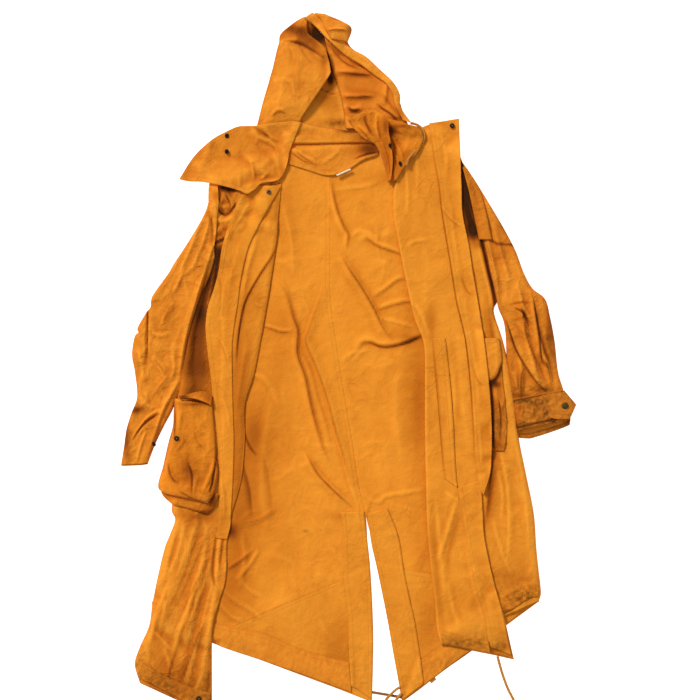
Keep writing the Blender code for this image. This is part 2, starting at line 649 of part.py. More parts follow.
STUDS = [  # name, x, y
    ("stud_collar_upper", -241, 460), ("stud_collar_lower", -241, 428),
    ("stud_placket_left", -157, 346), ("stud_front_right", 209, 480),
    ("stud_chin_upper", 82, 438), ("stud_chin_lower", 104, 402),
    ("stud_pocket_left", -338, -144), ("stud_cuff_tab_right", 434, -78),
    ("stud_cuff_left", -391, -156), ("stud_hem_left", -297, -664)]


def studs():
    for name, x, y in STUDS:
        stud(name, x, y)


CORDS = {  # routes of x, y, z from the end that comes out of the cloth
    "hood_cord": [
        (126, 483.6, 12), (136, 481.5, 12), (146, 476, 12), (153, 466, 12.5), (154, 452, 12.5),
        (148, 437, 13), (135, 427, 15.5), (124, 415, 19.5), (118, 400, 20)],
    "hem_cord_right": [
        (299.6, -580.3, 3.1), (309, -614, 3.1), (320, -644, 3.1), (332, -668, 3.1), (341, -694, 3.1)],
    "vent_cord": [(48.5, -652, 3.1), (62, -654, 3.1), (80, -657, 3.1), (96, -660, 3.1), (109.4, -662.4, 3.1)],
    "vent_cord_loop": [
        (105.9, -641.3, 4.6), (97, -646, 7.5), (86, -656, 9.3), (77, -667, 6), (77, -679, 3.2),
        (86, -684, 3.1), (94, -675, 6), (99, -664, 9.3), (104, -657.5, 9.2), (108.4, -653.4, 7.5)],
    "vent_cord_tip": [(166, -632.3, 3.1), (171, -628.4, 3.1), (176, -624.5, 3.1)]}


def cords():
    for name, route in CORDS.items():
        cord(name, route)


clear_scene()
COAT = bpy.data.collections.new("canvas_parka")
bpy.context.scene.collection.children.link(COAT)
PILE = Pile()

back_left()
back_right()
tails()
back_hem()
front_left()
front_left_strips()
pocket_left()
front_right()
front_right_strips()
sleeve_left()
sleeve_right()
shoulder_straps()
hood()
neck()
collar_wing_left()
chin_flap()
studs()
cords()
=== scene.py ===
"""Canvas fishtail parka laid open on its back, hood up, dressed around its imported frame.

Tables are in millimetres: x to the right, y up to the hood, z up from the floor. Each piece
is laid on the heap of the pieces under it, in the order in which they lie on each other.
"""
import math

import bpy
import numpy as np
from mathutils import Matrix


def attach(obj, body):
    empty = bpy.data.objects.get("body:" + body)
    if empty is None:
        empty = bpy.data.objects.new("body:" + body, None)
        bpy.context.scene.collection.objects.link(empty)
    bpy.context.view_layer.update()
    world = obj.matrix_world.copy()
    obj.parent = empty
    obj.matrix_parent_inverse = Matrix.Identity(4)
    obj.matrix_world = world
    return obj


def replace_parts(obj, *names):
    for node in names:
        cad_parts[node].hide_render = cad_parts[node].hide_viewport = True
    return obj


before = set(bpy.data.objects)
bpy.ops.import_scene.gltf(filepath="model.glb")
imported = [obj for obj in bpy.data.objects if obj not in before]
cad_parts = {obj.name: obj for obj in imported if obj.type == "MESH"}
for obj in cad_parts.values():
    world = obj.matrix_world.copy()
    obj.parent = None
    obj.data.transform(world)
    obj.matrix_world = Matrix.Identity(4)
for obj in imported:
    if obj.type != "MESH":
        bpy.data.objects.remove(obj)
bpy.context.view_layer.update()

# ================================================================ back, inside up
# The back is cut in two halves of cotton canvas, joined by a felled seam down the middle
# that stops at the vent. It lies on the floor and shows its inside, creased by the wash.

MM = 0.001
WALL = 1.0            # canvas with its sizing, as thick as it looks at a turned edge
GAP = 0.5             # air between pieces that lie on each other
CELL = 2.0            # square cells of the heap
WEST, SOUTH = -540.0, -800.0
SPAN = 24             # cells over which cloth bridges what stands up
MARGIN = 36           # cells read beyond a piece's own
BEND = 0.2            # how softly a rise is bent to stay above nothing, in square millimetres
STEPS = 6             # pieces of a fold's curve between two of its points
FADE = 0.33           # share of a fold's length over which it fades at each end
SWAY = 1100, 1640, 8  # width, height and margin that the slow unevenness covers
REPEAT = 97, 89       # squares after which the facets of creased cloth come again
UNSEWN = 99.0         # distance from a stitched edge where a piece has none
CREST = 1.2           # how far a crest stands out for its full painted paleness, and a crease sinks for its full painted shade
heap = np.zeros((int(-2 * WEST / CELL) + 1, int(-2 * SOUTH / CELL) + 1))


def smooth(table, at):
    """Rows of a table read at fractional row numbers along a Catmull-Rom curve."""
    table = np.asarray(table, float)
    knots = np.vstack([2 * table[0] - table[1], table, 2 * table[-1] - table[-2]])
    row = np.clip(np.floor(at).astype(int), 0, len(table) - 2)
    t = (at - row)[:, None]
    p0, p1, p2, p3 = (knots[row + k] for k in range(4))
    curve = 2 * p1 + (p2 - p0) * t + (2 * p0 - 5 * p1 + 4 * p2 - p3) * t ** 2
    return (curve + (3 * p1 - p0 - 3 * p2 + p3) * t ** 3) / 2


def stations(rows, pitch):
    """Fractional row numbers, evenly spaced along the middle of a table's sections."""
    middle = np.array(rows, float).reshape(len(rows), -1, 2).mean(axis=1)
    gone = np.append(0, np.cumsum(np.hypot(*np.diff(middle, axis=0).T)))
    count = max(4, int(gone[-1] / pitch) + 1)
    return np.interp(np.linspace(0, gone[-1], count), gone, np.arange(len(rows)))


def cut(rows, pitch=3.0, down=None):
    """Grid of x, y over a cut piece. Each table row is a section across it, from its left edge
    to its right edge; smooth curves run down through the rows, with points every pitch."""
    table = np.array(rows, float)
    count = table.shape[1] // 2
    knots = table.reshape(len(table), count, 2)
    down = stations(rows, pitch) if down is None else down
    lines = smooth(table, down).reshape(len(down), count, 2).transpose(1, 0, 2)
    spans = np.hypot(*np.moveaxis(np.diff(knots, axis=1), -1, 0))
    reach = np.append(0, np.cumsum(spans.mean(axis=0)))
    across = max(4, int(spans.sum(axis=1).max() / pitch) + 1)
    side = np.interp(np.linspace(0, reach[-1], across), reach, np.arange(count))
    grid = smooth(lines.reshape(count, -1), side).reshape(across, len(down), 2).transpose(1, 0, 2)
    return grid[..., 0], grid[..., 1]


EDGES = {"left": np.s_[:, :1], "right": np.s_[:, -1:], "top": np.s_[:1], "bottom": np.s_[-1:]}


def away(x, y, *edges):
    """Distance of each point from the nearest of the named edges, along its own section."""
    return np.min([np.hypot(x - x[EDGES[edge]], y - y[EDGES[edge]]) for edge in edges], axis=0)


def within(x, y, reach, *edges):
    """Share of the way in from the nearest of the named edges, full from the reach on."""
    return np.clip(away(x, y, *edges) / reach, 0, 1)


def rounded(share):
    """Quarter of a round: straight up where the share is 0, level where it is 1."""
    return np.sqrt(1 - (1 - share) ** 2)


def folds(x, y, table):
    """Height of listed folds. A row is a height, the width of the slope on the left and on the
    right of the line as one goes along it, and the line's points. The crest is sharp, the foot
    is soft, and the fold fades over its last third at both ends."""
    rise = np.zeros(x.shape)
    for height, left, right, *line in table:
        knots = np.array(line, float).reshape(-1, 2)
        path = smooth(knots, np.linspace(0, len(knots) - 1, STEPS * (len(knots) - 1) + 1))
        reach = max(left, right)
        low, high = path.min(axis=0) - reach, path.max(axis=0) + reach
        inside = (x > low[0]) & (x < high[0]) & (y > low[1]) & (y < high[1])
        if not inside.any():
            continue
        px, py = x[inside], y[inside]
        near = np.full(px.shape, 1e9)
        run, lefthand = np.zeros(px.shape), np.zeros(px.shape, bool)
        gone = 0.0
        for (x0, y0), (x1, y1) in zip(path, path[1:]):
            dx, dy = x1 - x0, y1 - y0
            t = np.clip(((px - x0) * dx + (py - y0) * dy) / (dx * dx + dy * dy), 0, 1)
            off_x, off_y = px - x0 - t * dx, py - y0 - t * dy
            off = np.hypot(off_x, off_y)
            closer = off < near
            near = np.where(closer, off, near)
            lefthand = np.where(closer, dx * off_y - dy * off_x > 0, lefthand)
            run = np.where(closer, gone + t * math.hypot(dx, dy), run)
            gone += math.hypot(dx, dy)
        part = np.clip(1 - near / np.where(lefthand, left, right), 0, 1)
        fade = np.clip(np.minimum(run, gone - run) / (FADE * gone), 0, 1)
        rise[inside] += height * part ** 2 * (1.6 - 0.6 * part) * fade * (2 - fade)
    return rise


def rumple(x, y, seed, size, height, grain=None, spread=0.5):
    """Small creases scattered from a seed over the whole coat, one to each square of the size:
    each is a slightly bent crest with a steep and a gentle slope. They follow the grain angle
    where one is given."""
    rng = np.random.default_rng(seed)
    count = int(4 * WEST * SOUTH / size ** 2)
    mid_x, mid_y = rng.uniform(WEST, -WEST, count), rng.uniform(SOUTH, -SOUTH, count)
    if grain is None:
        angle = rng.uniform(0, math.pi, count)
    else:
        angle = rng.normal(math.radians(grain), spread, count)
    half = size * rng.uniform(0.5, 1.5, count)
    wide = size * rng.uniform(0.15, 0.45, count)
    tall = height * rng.uniform(-0.5, 1.0, count)
    lean = rng.uniform(0.35, 1.0, count)
    bend = rng.normal(0, 0.25, count) / size
    near = ((mid_x > x.min() - half) & (mid_x < x.max() + half)
            & (mid_y > y.min() - half) & (mid_y < y.max() + half))
    rise = np.zeros(x.shape)
    for k in np.flatnonzero(near):
        box = (np.abs(x - mid_x[k]) < half[k]) & (np.abs(y - mid_y[k]) < half[k])
        px, py = x[box] - mid_x[k], y[box] - mid_y[k]
        along = px * math.cos(angle[k]) + py * math.sin(angle[k])
        off = py * math.cos(angle[k]) - px * math.sin(angle[k]) + bend[k] * along ** 2
        off = np.abs(np.where(off > 0, off, off / lean[k])) / wide[k]
        part = np.clip(1 - off, 0, 1)
        fade = np.clip(1 - (along / half[k]) ** 2, 0, 1) * np.clip(1 - (px / half[k]) ** 2, 0, 1)
        fade = fade * np.clip(1 - (py / half[k]) ** 2, 0, 1)
        rise[box] += tall[k] * part ** 2 * (1.6 - 0.6 * part) * fade
    return rise


def crumple(x, y, seed, size, height, stretch=1.0, grain=0.0):
    """Facets of creased cloth: shallow bowls that meet in sharp bent ridges. There is one bowl
    centre to each square of the size, off its middle by chance and with a depth of its own; the
    squares are longer along the grain angle by the stretch."""
    turn = math.radians(grain)
    sway_u, sway_v = drift(x, y, 1.6 * size, seed + 1), drift(x, y, 1.3 * size, seed + 2)
    u = (x * math.cos(turn) + y * math.sin(turn)) / (size * stretch) + 0.3 * sway_u
    v = (y * math.cos(turn) - x * math.sin(turn)) / size + 0.3 * sway_v
    chance = np.random.default_rng(seed).uniform(-1, 1, (3, *REPEAT))
    i, j = np.floor(u).astype(int), np.floor(v).astype(int)
    nearest = np.full(x.shape, 9.0)
    for di in (-1, 0, 1):
        for dj in (-1, 0, 1):
            off_u, off_v, depth = chance[:, (i + di) % REPEAT[0], (j + dj) % REPEAT[1]]
            away_u, away_v = u - i - di - 0.5 - 0.42 * off_u, v - j - dj - 0.5 - 0.42 * off_v
            nearest = np.minimum(nearest, away_u ** 2 + away_v ** 2 + 0.22 * depth)
    return height * (nearest - 0.25)


def between_four(level, i, j, fx, fy):
    """Value between a cell's four corners, by its shares of the way along both."""
    low = level[i, j] * (1 - fx) + level[i + 1, j] * fx
    high = level[i, j + 1] * (1 - fx) + level[i + 1, j + 1] * fx
    return low * (1 - fy) + high * fy


def drift(x, y, size, seed):
    """Slow unevenness from -1 to 1: seeded values at the corners of squares, blended softly."""
    wide, high, margin = SWAY
    lattice = np.random.default_rng(seed).uniform(-1, 1, (int(wide / size) + 3, int(high / size) + 3))
    gx, gy = (x - WEST + margin) / size, (y - SOUTH + margin) / size
    i, j = np.floor(gx).astype(int), np.floor(gy).astype(int)
    fx, fy = gx - i, gy - j
    return between_four(lattice, i, j, fx * fx * (3 - 2 * fx), fy * fy * (3 - 2 * fy))


def widest(level):
    """Each cell takes the greatest of itself and its eight neighbours."""
    out = level.copy()
    out[1:] = np.maximum(level[1:], level[:-1])
    out[:-1] = np.maximum(out[:-1], level[1:])
    wide = out.copy()
    wide[:, 1:] = np.maximum(out[:, 1:], out[:, :-1])
    wide[:, :-1] = np.maximum(wide[:, :-1], out[:, 1:])
    return wide


def blurred(level, passes=1):
    """Each value becomes the mean of itself and its eight neighbours."""
    for _ in range(passes):
        wide = np.pad(level, 1, mode="edge")
        wide = wide[:-2] + wide[1:-1] + wide[2:]
        level = (wide[:, :-2] + wide[:, 1:-1] + wide[:, 2:]) / 9
    return level


def bed(x, y, slope=0.55, soften=3):
    """Top of the heap under a piece, as cloth bridges it: it falls beside what stands up no
    steeper than the slope, and goes over each step in a soft ramp that clears it."""
    i0 = max(0, int((x.min() - WEST) / CELL) - MARGIN)
    j0 = max(0, int((y.min() - SOUTH) / CELL) - MARGIN)
    i1 = min(heap.shape[0], int((x.max() - WEST) / CELL) + MARGIN)
    j1 = min(heap.shape[1], int((y.max() - SOUTH) / CELL) + MARGIN)
    level = heap[i0:i1, j0:j1]
    for _ in range(SPAN):
        level = np.maximum(level, widest(level) - slope * CELL)
    for _ in range(soften):
        level = widest(level)
    level = blurred(level, soften)
    gx, gy = (x - WEST) / CELL - i0, (y - SOUTH) / CELL - j0
    i = np.clip(np.floor(gx).astype(int), 0, level.shape[0] - 2)
    j = np.clip(np.floor(gy).astype(int), 0, level.shape[1] - 2)
    return between_four(level, i, j, gx - i, gy - j)


def between(grid):
    """The grid with the middle of each of its steps put in, both ways."""
    rows = np.empty((2 * grid.shape[0] - 1, grid.shape[1]))
    rows[::2], rows[1::2] = grid, (grid[1:] + grid[:-1]) / 2
    full = np.empty((rows.shape[0], 2 * grid.shape[1] - 1))
    full[:, ::2], full[:, 1::2] = rows, (rows[:, 1:] + rows[:, :-1]) / 2
    return full


def heap_up(x, y, z):
    """Takes a piece into the heap, from its grid and the two finer ones between its points."""
    x, y, z = (between(between(grid)) for grid in (x, y, z))
    i = np.clip(np.rint((x - WEST) / CELL).astype(int), 0, heap.shape[0] - 1)
    j = np.clip(np.rint((y - SOUTH) / CELL).astype(int), 0, heap.shape[1] - 1)
    np.maximum.at(heap, (i, j), z + WALL / 2)


def lay(x, y, rise, soften=3, bare=False):
    """Height of a piece's middle when it lies on the heap, standing up from it by its rise,
    which is bent smoothly to stay above nothing. A piece sewn edge to edge to the one before
    it lies on the bare floor beside that one instead."""
    under = 0.0 if bare else bed(x, y, soften=soften)
    z = under + GAP + WALL / 2 + (rise + np.sqrt(rise ** 2 + BEND)) / 2
    heap_up(x, y, z)
    return z


def spots(x, y, table):
    """Sum of soft round spots, each a row of x, y, two half widths and a strength."""
    level = np.zeros(x.shape)
    for spot_x, spot_y, half_x, half_y, strength in table:
        level += strength * np.exp(-((x - spot_x) / half_x) ** 2 - ((y - spot_y) / half_y) ** 2)
    return level


def piece_of(name, data):
    """Object for a mesh or a curve, on the coat's one body."""
    piece = bpy.data.objects.new(name, data)
    bpy.context.scene.collection.objects.link(piece)
    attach(piece, "root")
    return piece


def corners(grid):
    """The grid's values at the four corners of each of its cells."""
    return np.stack([grid[:-1, :-1], grid[1:, :-1], grid[1:, 1:], grid[:-1, 1:]], axis=-1)


def cloth(name, x, y, z, finish, node, sewn=(), hem=None, grime=(), shade=(), rim=0.0,
          slot="canvas", held="laid", around=False):
    """Mesh through a grid, given its wall by Solidify. It carries its cut as a UV map in metres,
    and for its finish: the relief of its creases, which paints crests paler and creases darker
    as light and shade, its distance from the stitched edges, its grime, a sum of soft spots of
    x, y, two half widths and a strength, and its shade, spots as well, or rows as of folds along
    a line, over a rim: mostly painted shade in recesses, creases and along edges, and a plain
    darkening in places, such as on the hems and the right strap."""
    if hem is None:
        hem = away(x, y, *sewn) if sewn else np.full(x.shape, UNSEWN)
    rows, columns = x.shape
    points = np.stack([x, y, z], axis=-1) * MM
    step_u, step_v = np.diff(points, axis=1), np.diff(points, axis=0)
    u = np.hstack([np.zeros((rows, 1)), np.cumsum(np.linalg.norm(step_u, axis=2), axis=1)])
    v = np.vstack([np.zeros((1, columns)), np.cumsum(np.linalg.norm(step_v, axis=2), axis=0)])
    kept = columns - 1 if around else columns
    index = np.arange(rows * kept).reshape(rows, kept)
    if around:
        index = np.hstack([index, index[:, :1]])
    quads = corners(index).reshape(-1, 4)
    spread = np.stack([corners(u), corners(v)], axis=-1)
    mesh = bpy.data.meshes.new(name)
    mesh.vertices.add(rows * kept)
    mesh.vertices.foreach_set("co", points[:, :kept].ravel())
    mesh.loops.add(quads.size)
    mesh.loops.foreach_set("vertex_index", quads.ravel())
    mesh.polygons.add(len(quads))
    mesh.polygons.foreach_set("loop_start", np.arange(0, quads.size, 4))
    mesh.polygons.foreach_set("use_smooth", np.ones(len(quads), bool))
    mesh.update(calc_edges=True)
    mesh.uv_layers.new(name="cut").data.foreach_set("uv", spread.ravel())
    round_shade = spots(x, y, [row for row in shade if len(row) == 5])
    line_shade = folds(x, y, [row for row in shade if len(row) > 5])
    # the relief paints crests paler and creases darker as light and shade; the shade mark is mostly painted
    # shade
    marks = {"relief": np.clip((z - blurred(z, 9)) / CREST, -1, 1),
             "hem": hem,
             "grime": np.clip(spots(x, y, grime), 0, 1),
             "shade": np.clip(rim + round_shade + line_shade, 0, 1)}
    for mark, values in marks.items():
        mesh.attributes.new(mark, "FLOAT", "POINT").data.foreach_set("value", values[:, :kept].ravel())
    mesh.materials.append(finish)
    piece = piece_of(name, mesh)
    shell = piece.modifiers.new("wall", "SOLIDIFY")
    shell.thickness = WALL * MM
    shell.offset = 0.0
    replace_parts(piece, node)
    return piece


def panel(name, rows, rise, finish, node, sewn=(), soften=3, pitch=3.0, bare=False, **facts):
    """A cut piece laid on the heap, its rise a function of its grid."""
    x, y = cut(rows, pitch)
    z = lay(x, y, rise(x, y), soften, bare)
    return cloth(name, x, y, z, finish, node, sewn, **facts)


def linear(colour):
    """sRGB hex value as linear light."""
    values = [int(colour[k:k + 2], 16) / 255 for k in (1, 3, 5)]
    return [v / 12.92 if v <= 0.04045 else ((v + 0.055) / 1.055) ** 2.4 for v in values] + [1.0]


def add(tree, kind, settings, **links):
    """Adds a node with its settings, and its inputs by name (spaces as _) or place (as i0)."""
    made = tree.nodes.new(kind)
    for key, value in settings.items():
        setattr(made, key, value)
    for key, value in links.items():
        place = int(key[1:]) if key[0] == "i" and key[1:].isdigit() else key.replace("_", " ")
        socket = made.inputs[place]
        if isinstance(value, bpy.types.NodeSocket):
            tree.links.new(value, socket)
        else:
            socket.default_value = value
    return made


def maths(tree, operation, *values, clamp=False):
    """Result of a maths node on its values in their order."""
    places = {"i%d" % k: value for k, value in enumerate(values)}
    return add(tree, "ShaderNodeMath", {"operation": operation, "use_clamp": clamp}, **places).outputs[0]


def ramp(tree, value, low, high, start, end):
    """Value moved from between low and high to between start and end, and kept there."""
    return add(tree, "ShaderNodeMapRange", {}, i0=value, i1=low, i2=high, i3=start, i4=end).outputs[0]


def texture(tree, kind, place, scale, settings=None, **more):
    """Outputs of a texture node of a kind, at a place and a scale."""
    return add(tree, "ShaderNodeTex" + kind, settings or {}, Vector=place, Scale=scale, **more).outputs


def mix(tree, share, first, second):
    """Colour that goes from the first to the second with the share."""
    return add(tree, "ShaderNodeMix", {"data_type": "RGBA"}, i0=share, i6=first, i7=second).outputs[2]


def blank(name):
    """New material, its node tree and the Object coordinates in it."""
    finish = bpy.data.materials.new(name)
    finish.use_nodes = True
    tree = finish.node_tree
    tree.nodes.clear()
    return finish, tree, add(tree, "ShaderNodeTexCoord", {}).outputs["Object"]


STITCHES = 2.0, 9.0   # rows of lockstitch, from a sewn edge


def dyed_canvas(name, face, deep, worn=0.0, creased=1.6):
    """Plain-woven cotton canvas, garment dyed and washed. The dye is uneven in clouds a hand
    wide, and grime sits where the coat was handled. Crests are painted paler, as highlight and
    worn dye, and creases darker as painted shade; the shade mark adds painted shade on top.
    Threads are 0.5 mm apart, too fine to show, so the weave is drawn at 1.8 mm. Two rows of
    lockstitch run 2 mm and 9 mm inside each sewn edge."""
    finish, tree, place = blank(name)
    relief, hem, grime, shade = (add(tree, "ShaderNodeAttribute", {"attribute_name": mark}).outputs["Fac"]
                                 for mark in ("relief", "hem", "grime", "shade"))

    # dye: clouds and specks, with painted highlight where the cloth stands up and painted shade where it
    # sinks
    cloud = texture(tree, "Noise", place, 9.0, Detail=4.0, Roughness=0.6)["Fac"]
    speck = texture(tree, "Noise", place, 95.0, Detail=6.0, Roughness=0.75)["Fac"]
    tone = maths(tree, "MULTIPLY_ADD", speck, 0.5, maths(tree, "MULTIPLY_ADD", relief, -0.45, cloud))
    dye = mix(tree, ramp(tree, tone, 0.45, 1.25, 0.0, 1.0), linear(face), linear(deep))

    # hair creases: the borders of bent cells a thumb wide, in some places only
    wander = texture(tree, "Noise", place, 13.0, Detail=2.0)["Color"]
    bent = add(tree, "ShaderNodeMix", {"data_type": "VECTOR"}, i0=0.07, i4=place, i5=wander).outputs[1]
    border = texture(tree, "Voronoi", bent, 30.0, {"feature": "DISTANCE_TO_EDGE"})["Distance"]
    sharp = ramp(tree, border, 0.0, 0.075, 1.0, 0.0)
    crack = maths(tree, "MULTIPLY", sharp, ramp(tree, cloud, 0.5, 0.66, 0.0, 0.09 * creased))

    # painted shade: richer, the hair creases painted darker, then brown, then nearly black in a pit
    power = maths(tree, "MULTIPLY_ADD", shade, 0.16, 1.0)
    rich = add(tree, "ShaderNodeGamma", {}, i0=dye, i1=power).outputs[0]
    lined = mix(tree, crack, rich, linear("#7a450e"))
    browned = mix(tree, ramp(tree, shade, 0.0, 0.7, 0.0, 1.0), lined, linear("#a44e05"))
    # dyed holds the dye with its painted shade on it
    dyed = mix(tree, ramp(tree, shade, 0.4, 1.05, 0.0, 1.0), browned, linear("#221001"))

    # grime in patches, and the two rows of stitches
    patch = ramp(tree, speck, 0.38, 0.62, 0.2, 1.45)
    soil = maths(tree, "MULTIPLY", maths(tree, "MULTIPLY_ADD", grime, 1.0, worn), patch, clamp=True)
    soiled = mix(tree, soil, dyed, linear("#6b3d0a"))
    half = (STITCHES[1] - STITCHES[0]) / 2
    row = maths(tree, "PINGPONG", maths(tree, "ADD", hem, half - STITCHES[0]), half)
    close = maths(tree, "LESS_THAN", hem, 3 * half)
    stitch = maths(tree, "MULTIPLY", ramp(tree, row, half - 0.8, half, 0.0, 0.22), close)
    sewn = mix(tree, stitch, soiled, linear("#96520f"))

    # relief in millimetres: weave, crease facets, crinkle, hair creases and stitches
    chart = add(tree, "ShaderNodeUVMap", {"uv_map": "cut"}).outputs[0]
    warp, weft = (texture(tree, "Wave", chart, 176.0, {"bands_direction": along},
                          Distortion=1.2, Detail=1.0)["Fac"] for along in "XY")
    facet = texture(tree, "Voronoi", bent, 30.0, Detail=2.0, Roughness=0.45, Lacunarity=2.6)["Distance"]
    crinkle = texture(tree, "Noise", place, 55.0, Detail=3.0, Roughness=0.55, Distortion=0.6)["Fac"]
    height = maths(tree, "MULTIPLY", maths(tree, "ADD", warp, weft), 0.06)
    for form, tall in ((facet, creased), (crinkle, 0.9), (crack, -3.2), (stitch, -1.0)):
        height = maths(tree, "MULTIPLY_ADD", form, tall, height)
    bump = add(tree, "ShaderNodeBump", {}, Strength=1.0, Distance=MM, Height=height)
    shader = add(tree, "ShaderNodeBsdfPrincipled", {}, Base_Color=sewn, Normal=bump.outputs[0],
                 Roughness=0.9, IOR=1.45, Sheen_Weight=0.03, Sheen_Roughness=0.45)
    shader.inputs["Specular IOR Level"].default_value = 0.15
    add(tree, "ShaderNodeOutputMaterial", {}, Surface=shader.outputs[0])
    return finish


canvas_inside = dyed_canvas("garment-dyed canvas, inside", "#ee962b", "#d67c1a", creased=1.5)
canvas_facing = dyed_canvas("garment-dyed canvas, facings", "#e9942a", "#d0781a", creased=1.8)

BACK_FOLDS = [  # height, width on the left and right of the line, and its points
    (3.6, 5, 16, -36, 384, -24, 318, -9, 278, 0, 262, -4, 230),
    (4.2, 5, 24, -16, 228, 4, 197, 28, 161, 52, 120, 72, 79, 90, 52),
    (2.8, 14, 5, 22, 247, 40, 258, 58, 244, 75, 237, 101, 228, 112, 222),
    (1.6, 10, 5, 6, 260, 25, 268, 47, 262, 60, 249),
    (1.0, 4, 6, 58, 284, 60, 247, 64, 210),
    (2.4, 14, 6, 50, 139, 75, 155, 99, 173, 118, 178),
    (2.8, 14, 5, 57, 113, 93, 125, 118, 130, 134, 130),
    (2.2, 12, 6, 62, 97, 99, 87, 140, 77),
    (4.6, 24, 5, 14, 30, 30, 49, 46, 50, 64, 43, 85, 43, 115, 50, 139, 60, 156, 70),
    (2.2, 8, 5, -13, 8, 8, 24, 24, 33),
    (1.6, 8, 5, 6, 4, 24, 24, 44, 36),
    (1.6, 12, 5, -28, 351, 5, 355, 37, 360, 72, 373),
    (4.6, 6, 24, -143, 178, -123, 150, -109, 100, -99, 70, -100, 26, -84, -22, -72, -81, -50, -160, -31,
     -200),
    (4.4, 20, 6, -42, 185, -52, 149, -78, 73, -84, 49, -60, -10, -40, -69, -28, -116, -12, -170, 10, -250,
     24, -282),
    (4.2, 5, 16, -84, -166, -64, -205, -42, -231, -16, -256, 12, -282),
    (2.2, 12, 5, 38, -266, 63, -272, 79, -260, 117, -254, 160, -246),
    (2.6, 8, 10, -244, -410, -208, -384, -186, -362),
    (3.2, 9, 6, -224, -430, -196, -398, -176, -366),
    (2.8, 10, 6, -206, -318, -172, -306, -138, -282),
    (2.6, 10, 10, -214, -326, -205, -380, -216, -446),
    (2.6, 8, 6, -262, -470, -236, -500, -206, -512),
    (2.2, 8, 6, -256, -440, -232, -466, -196, -487, -164, -510),
    (2.0, 7, 6, -222, -420, -196, -446, -168, -462),
    (2.4, 24, 16, -150, -60, -165, -150, -170, -250, -160, -330),
    (2.0, 26, 26, 100, 0, 96, -90, 110, -200),
    (2.6, 16, 20, -130, 330, -112, 250, -108, 180),
    (2.6, 10, 6, -172, 84, -150, 76, -130, 70, -110, 72),
    (2.4, 12, 10, -202, -10, -160, -32, -134, -84),
    (-3.0, 30, 46, 93, 302, 105, 232, 121, 162, 135, 100, 153, 42, 155, -44, 155, -124, 157, -224, 159,
     -308, 164, -380, 180, -512),
    (-2.5, 34, 20, -131, 364, -141, 252, -155, 154, -167, 82, -185, -18, -205, -78, -205, -166, -211, -226,
     -232, -300)]

# Painted shade on the back: broad zones beside the left closure, and lines along the folds
BACK_SHADE = [  # painted shade: spots of x, y, half widths and strength; lines of strength, widths and points
    (-204, -190, 44, 110, 0.34), (-222, -330, 30, 80, 0.34), (-140, 40, 36, 190, 0.14),
    (-236, -440, 40, 60, 0.35), (-124, 320, 30, 60, 0.12), (124, 100, 20, 130, 0.14),
    (146, -80, 18, 120, 0.26), (-184, -130, 22, 50, 0.2), (70, 372, 34, 16, 0.2), (112, 58, 34, 10, 0.3),
    (150, -420, 20, 90, 0.25), (-236, -330, 14, 14, 0.4), (-196, -262, 20, 44, 0.08),
    (-176, -80, 34, 110, 0.12), (132, -70, 30, 110, 0.16), (-150, -330, 60, 90, 0.12),
    (-120, -150, 20, 60, 0.1), (0.25, 5, 14, -216, -150, -208, -200, -196, -250, -190, -310),
    (0.22, 5, 12, -170, -170, -158, -230, -150, -300), (0.3, 5, 5, -212, -120, -196, -160, -180, -180),
    (0.35, 5, 6, 60, -250, 40, -300, 52, -380), (-20, -300, 30, 10, 0.2),
    (0.3, 8, 8, -92, 70, -92, 36, -72, -10, -56, -70, -40, -120, -30, -180),
    (0.6, 5, 9, -143, 176, -123, 148, -109, 100, -99, 70, -100, 26, -84, -22, -72, -81, -50, -160, -31,
     -200),
    (0.5, 6, 5, -42, 185, -52, 149, -78, 73, -84, 49, -60, -10, -40, -69, -28, -116, -12, -170, 10, -250),
    (0.2, 6, 10, -143, 250, -156, 150, -175, 60, -196, -60),
    (0.75, 8, 5, 24, 42, 46, 46, 64, 39, 85, 38, 115, 45, 139, 55, 160, 66),
    (0.5, 5, 7, -36, 380, -22, 318, -7, 278, 2, 262, -2, 228),
    (0.65, 5, 8, -18, 232, 4, 194, 28, 158, 52, 117, 72, 76, 94, 48),
    (0.6, 5, 7, -88, -160, -64, -208, -42, -234, -16, -259, 14, -286),
    (0.5, 6, 5, 34, 258, 58, 241, 75, 234, 101, 225, 114, 218),
    (0.4, 5, 5, 50, 136, 75, 152, 99, 170, 120, 175), (0.4, 5, 5, 54, 110, 93, 122, 118, 127, 138, 127),
    (0.4, 6, 5, -174, 82, -150, 73, -130, 67, -108, 70), (0.3, 7, 6, -206, -316, -172, -304, -138, -280),
    (0.3, 7, 6, -248, -412, -208, -386, -184, -362), (0.3, 7, 6, -264, -470, -236, -502, -204, -516),
    (0.22, 6, 5, -256, -443, -232, -469, -196, -490, -164, -513)]


def back_rise(x, y):
    """Height of the back over the floor: a low puff with slow unevenness, the listed folds
    and small creases. It is one function over both halves and the tails, so that they meet."""
    small = crumple(x, y, 5, 64, 2.2, 1.6, 70) + crumple(x, y, 6, 26, 0.5) + rumple(x, y, 7, 40, 1.0)
    return 3.2 + 1.6 * drift(x, y, 110, 3) + 1.25 * folds(x, y, BACK_FOLDS) + small


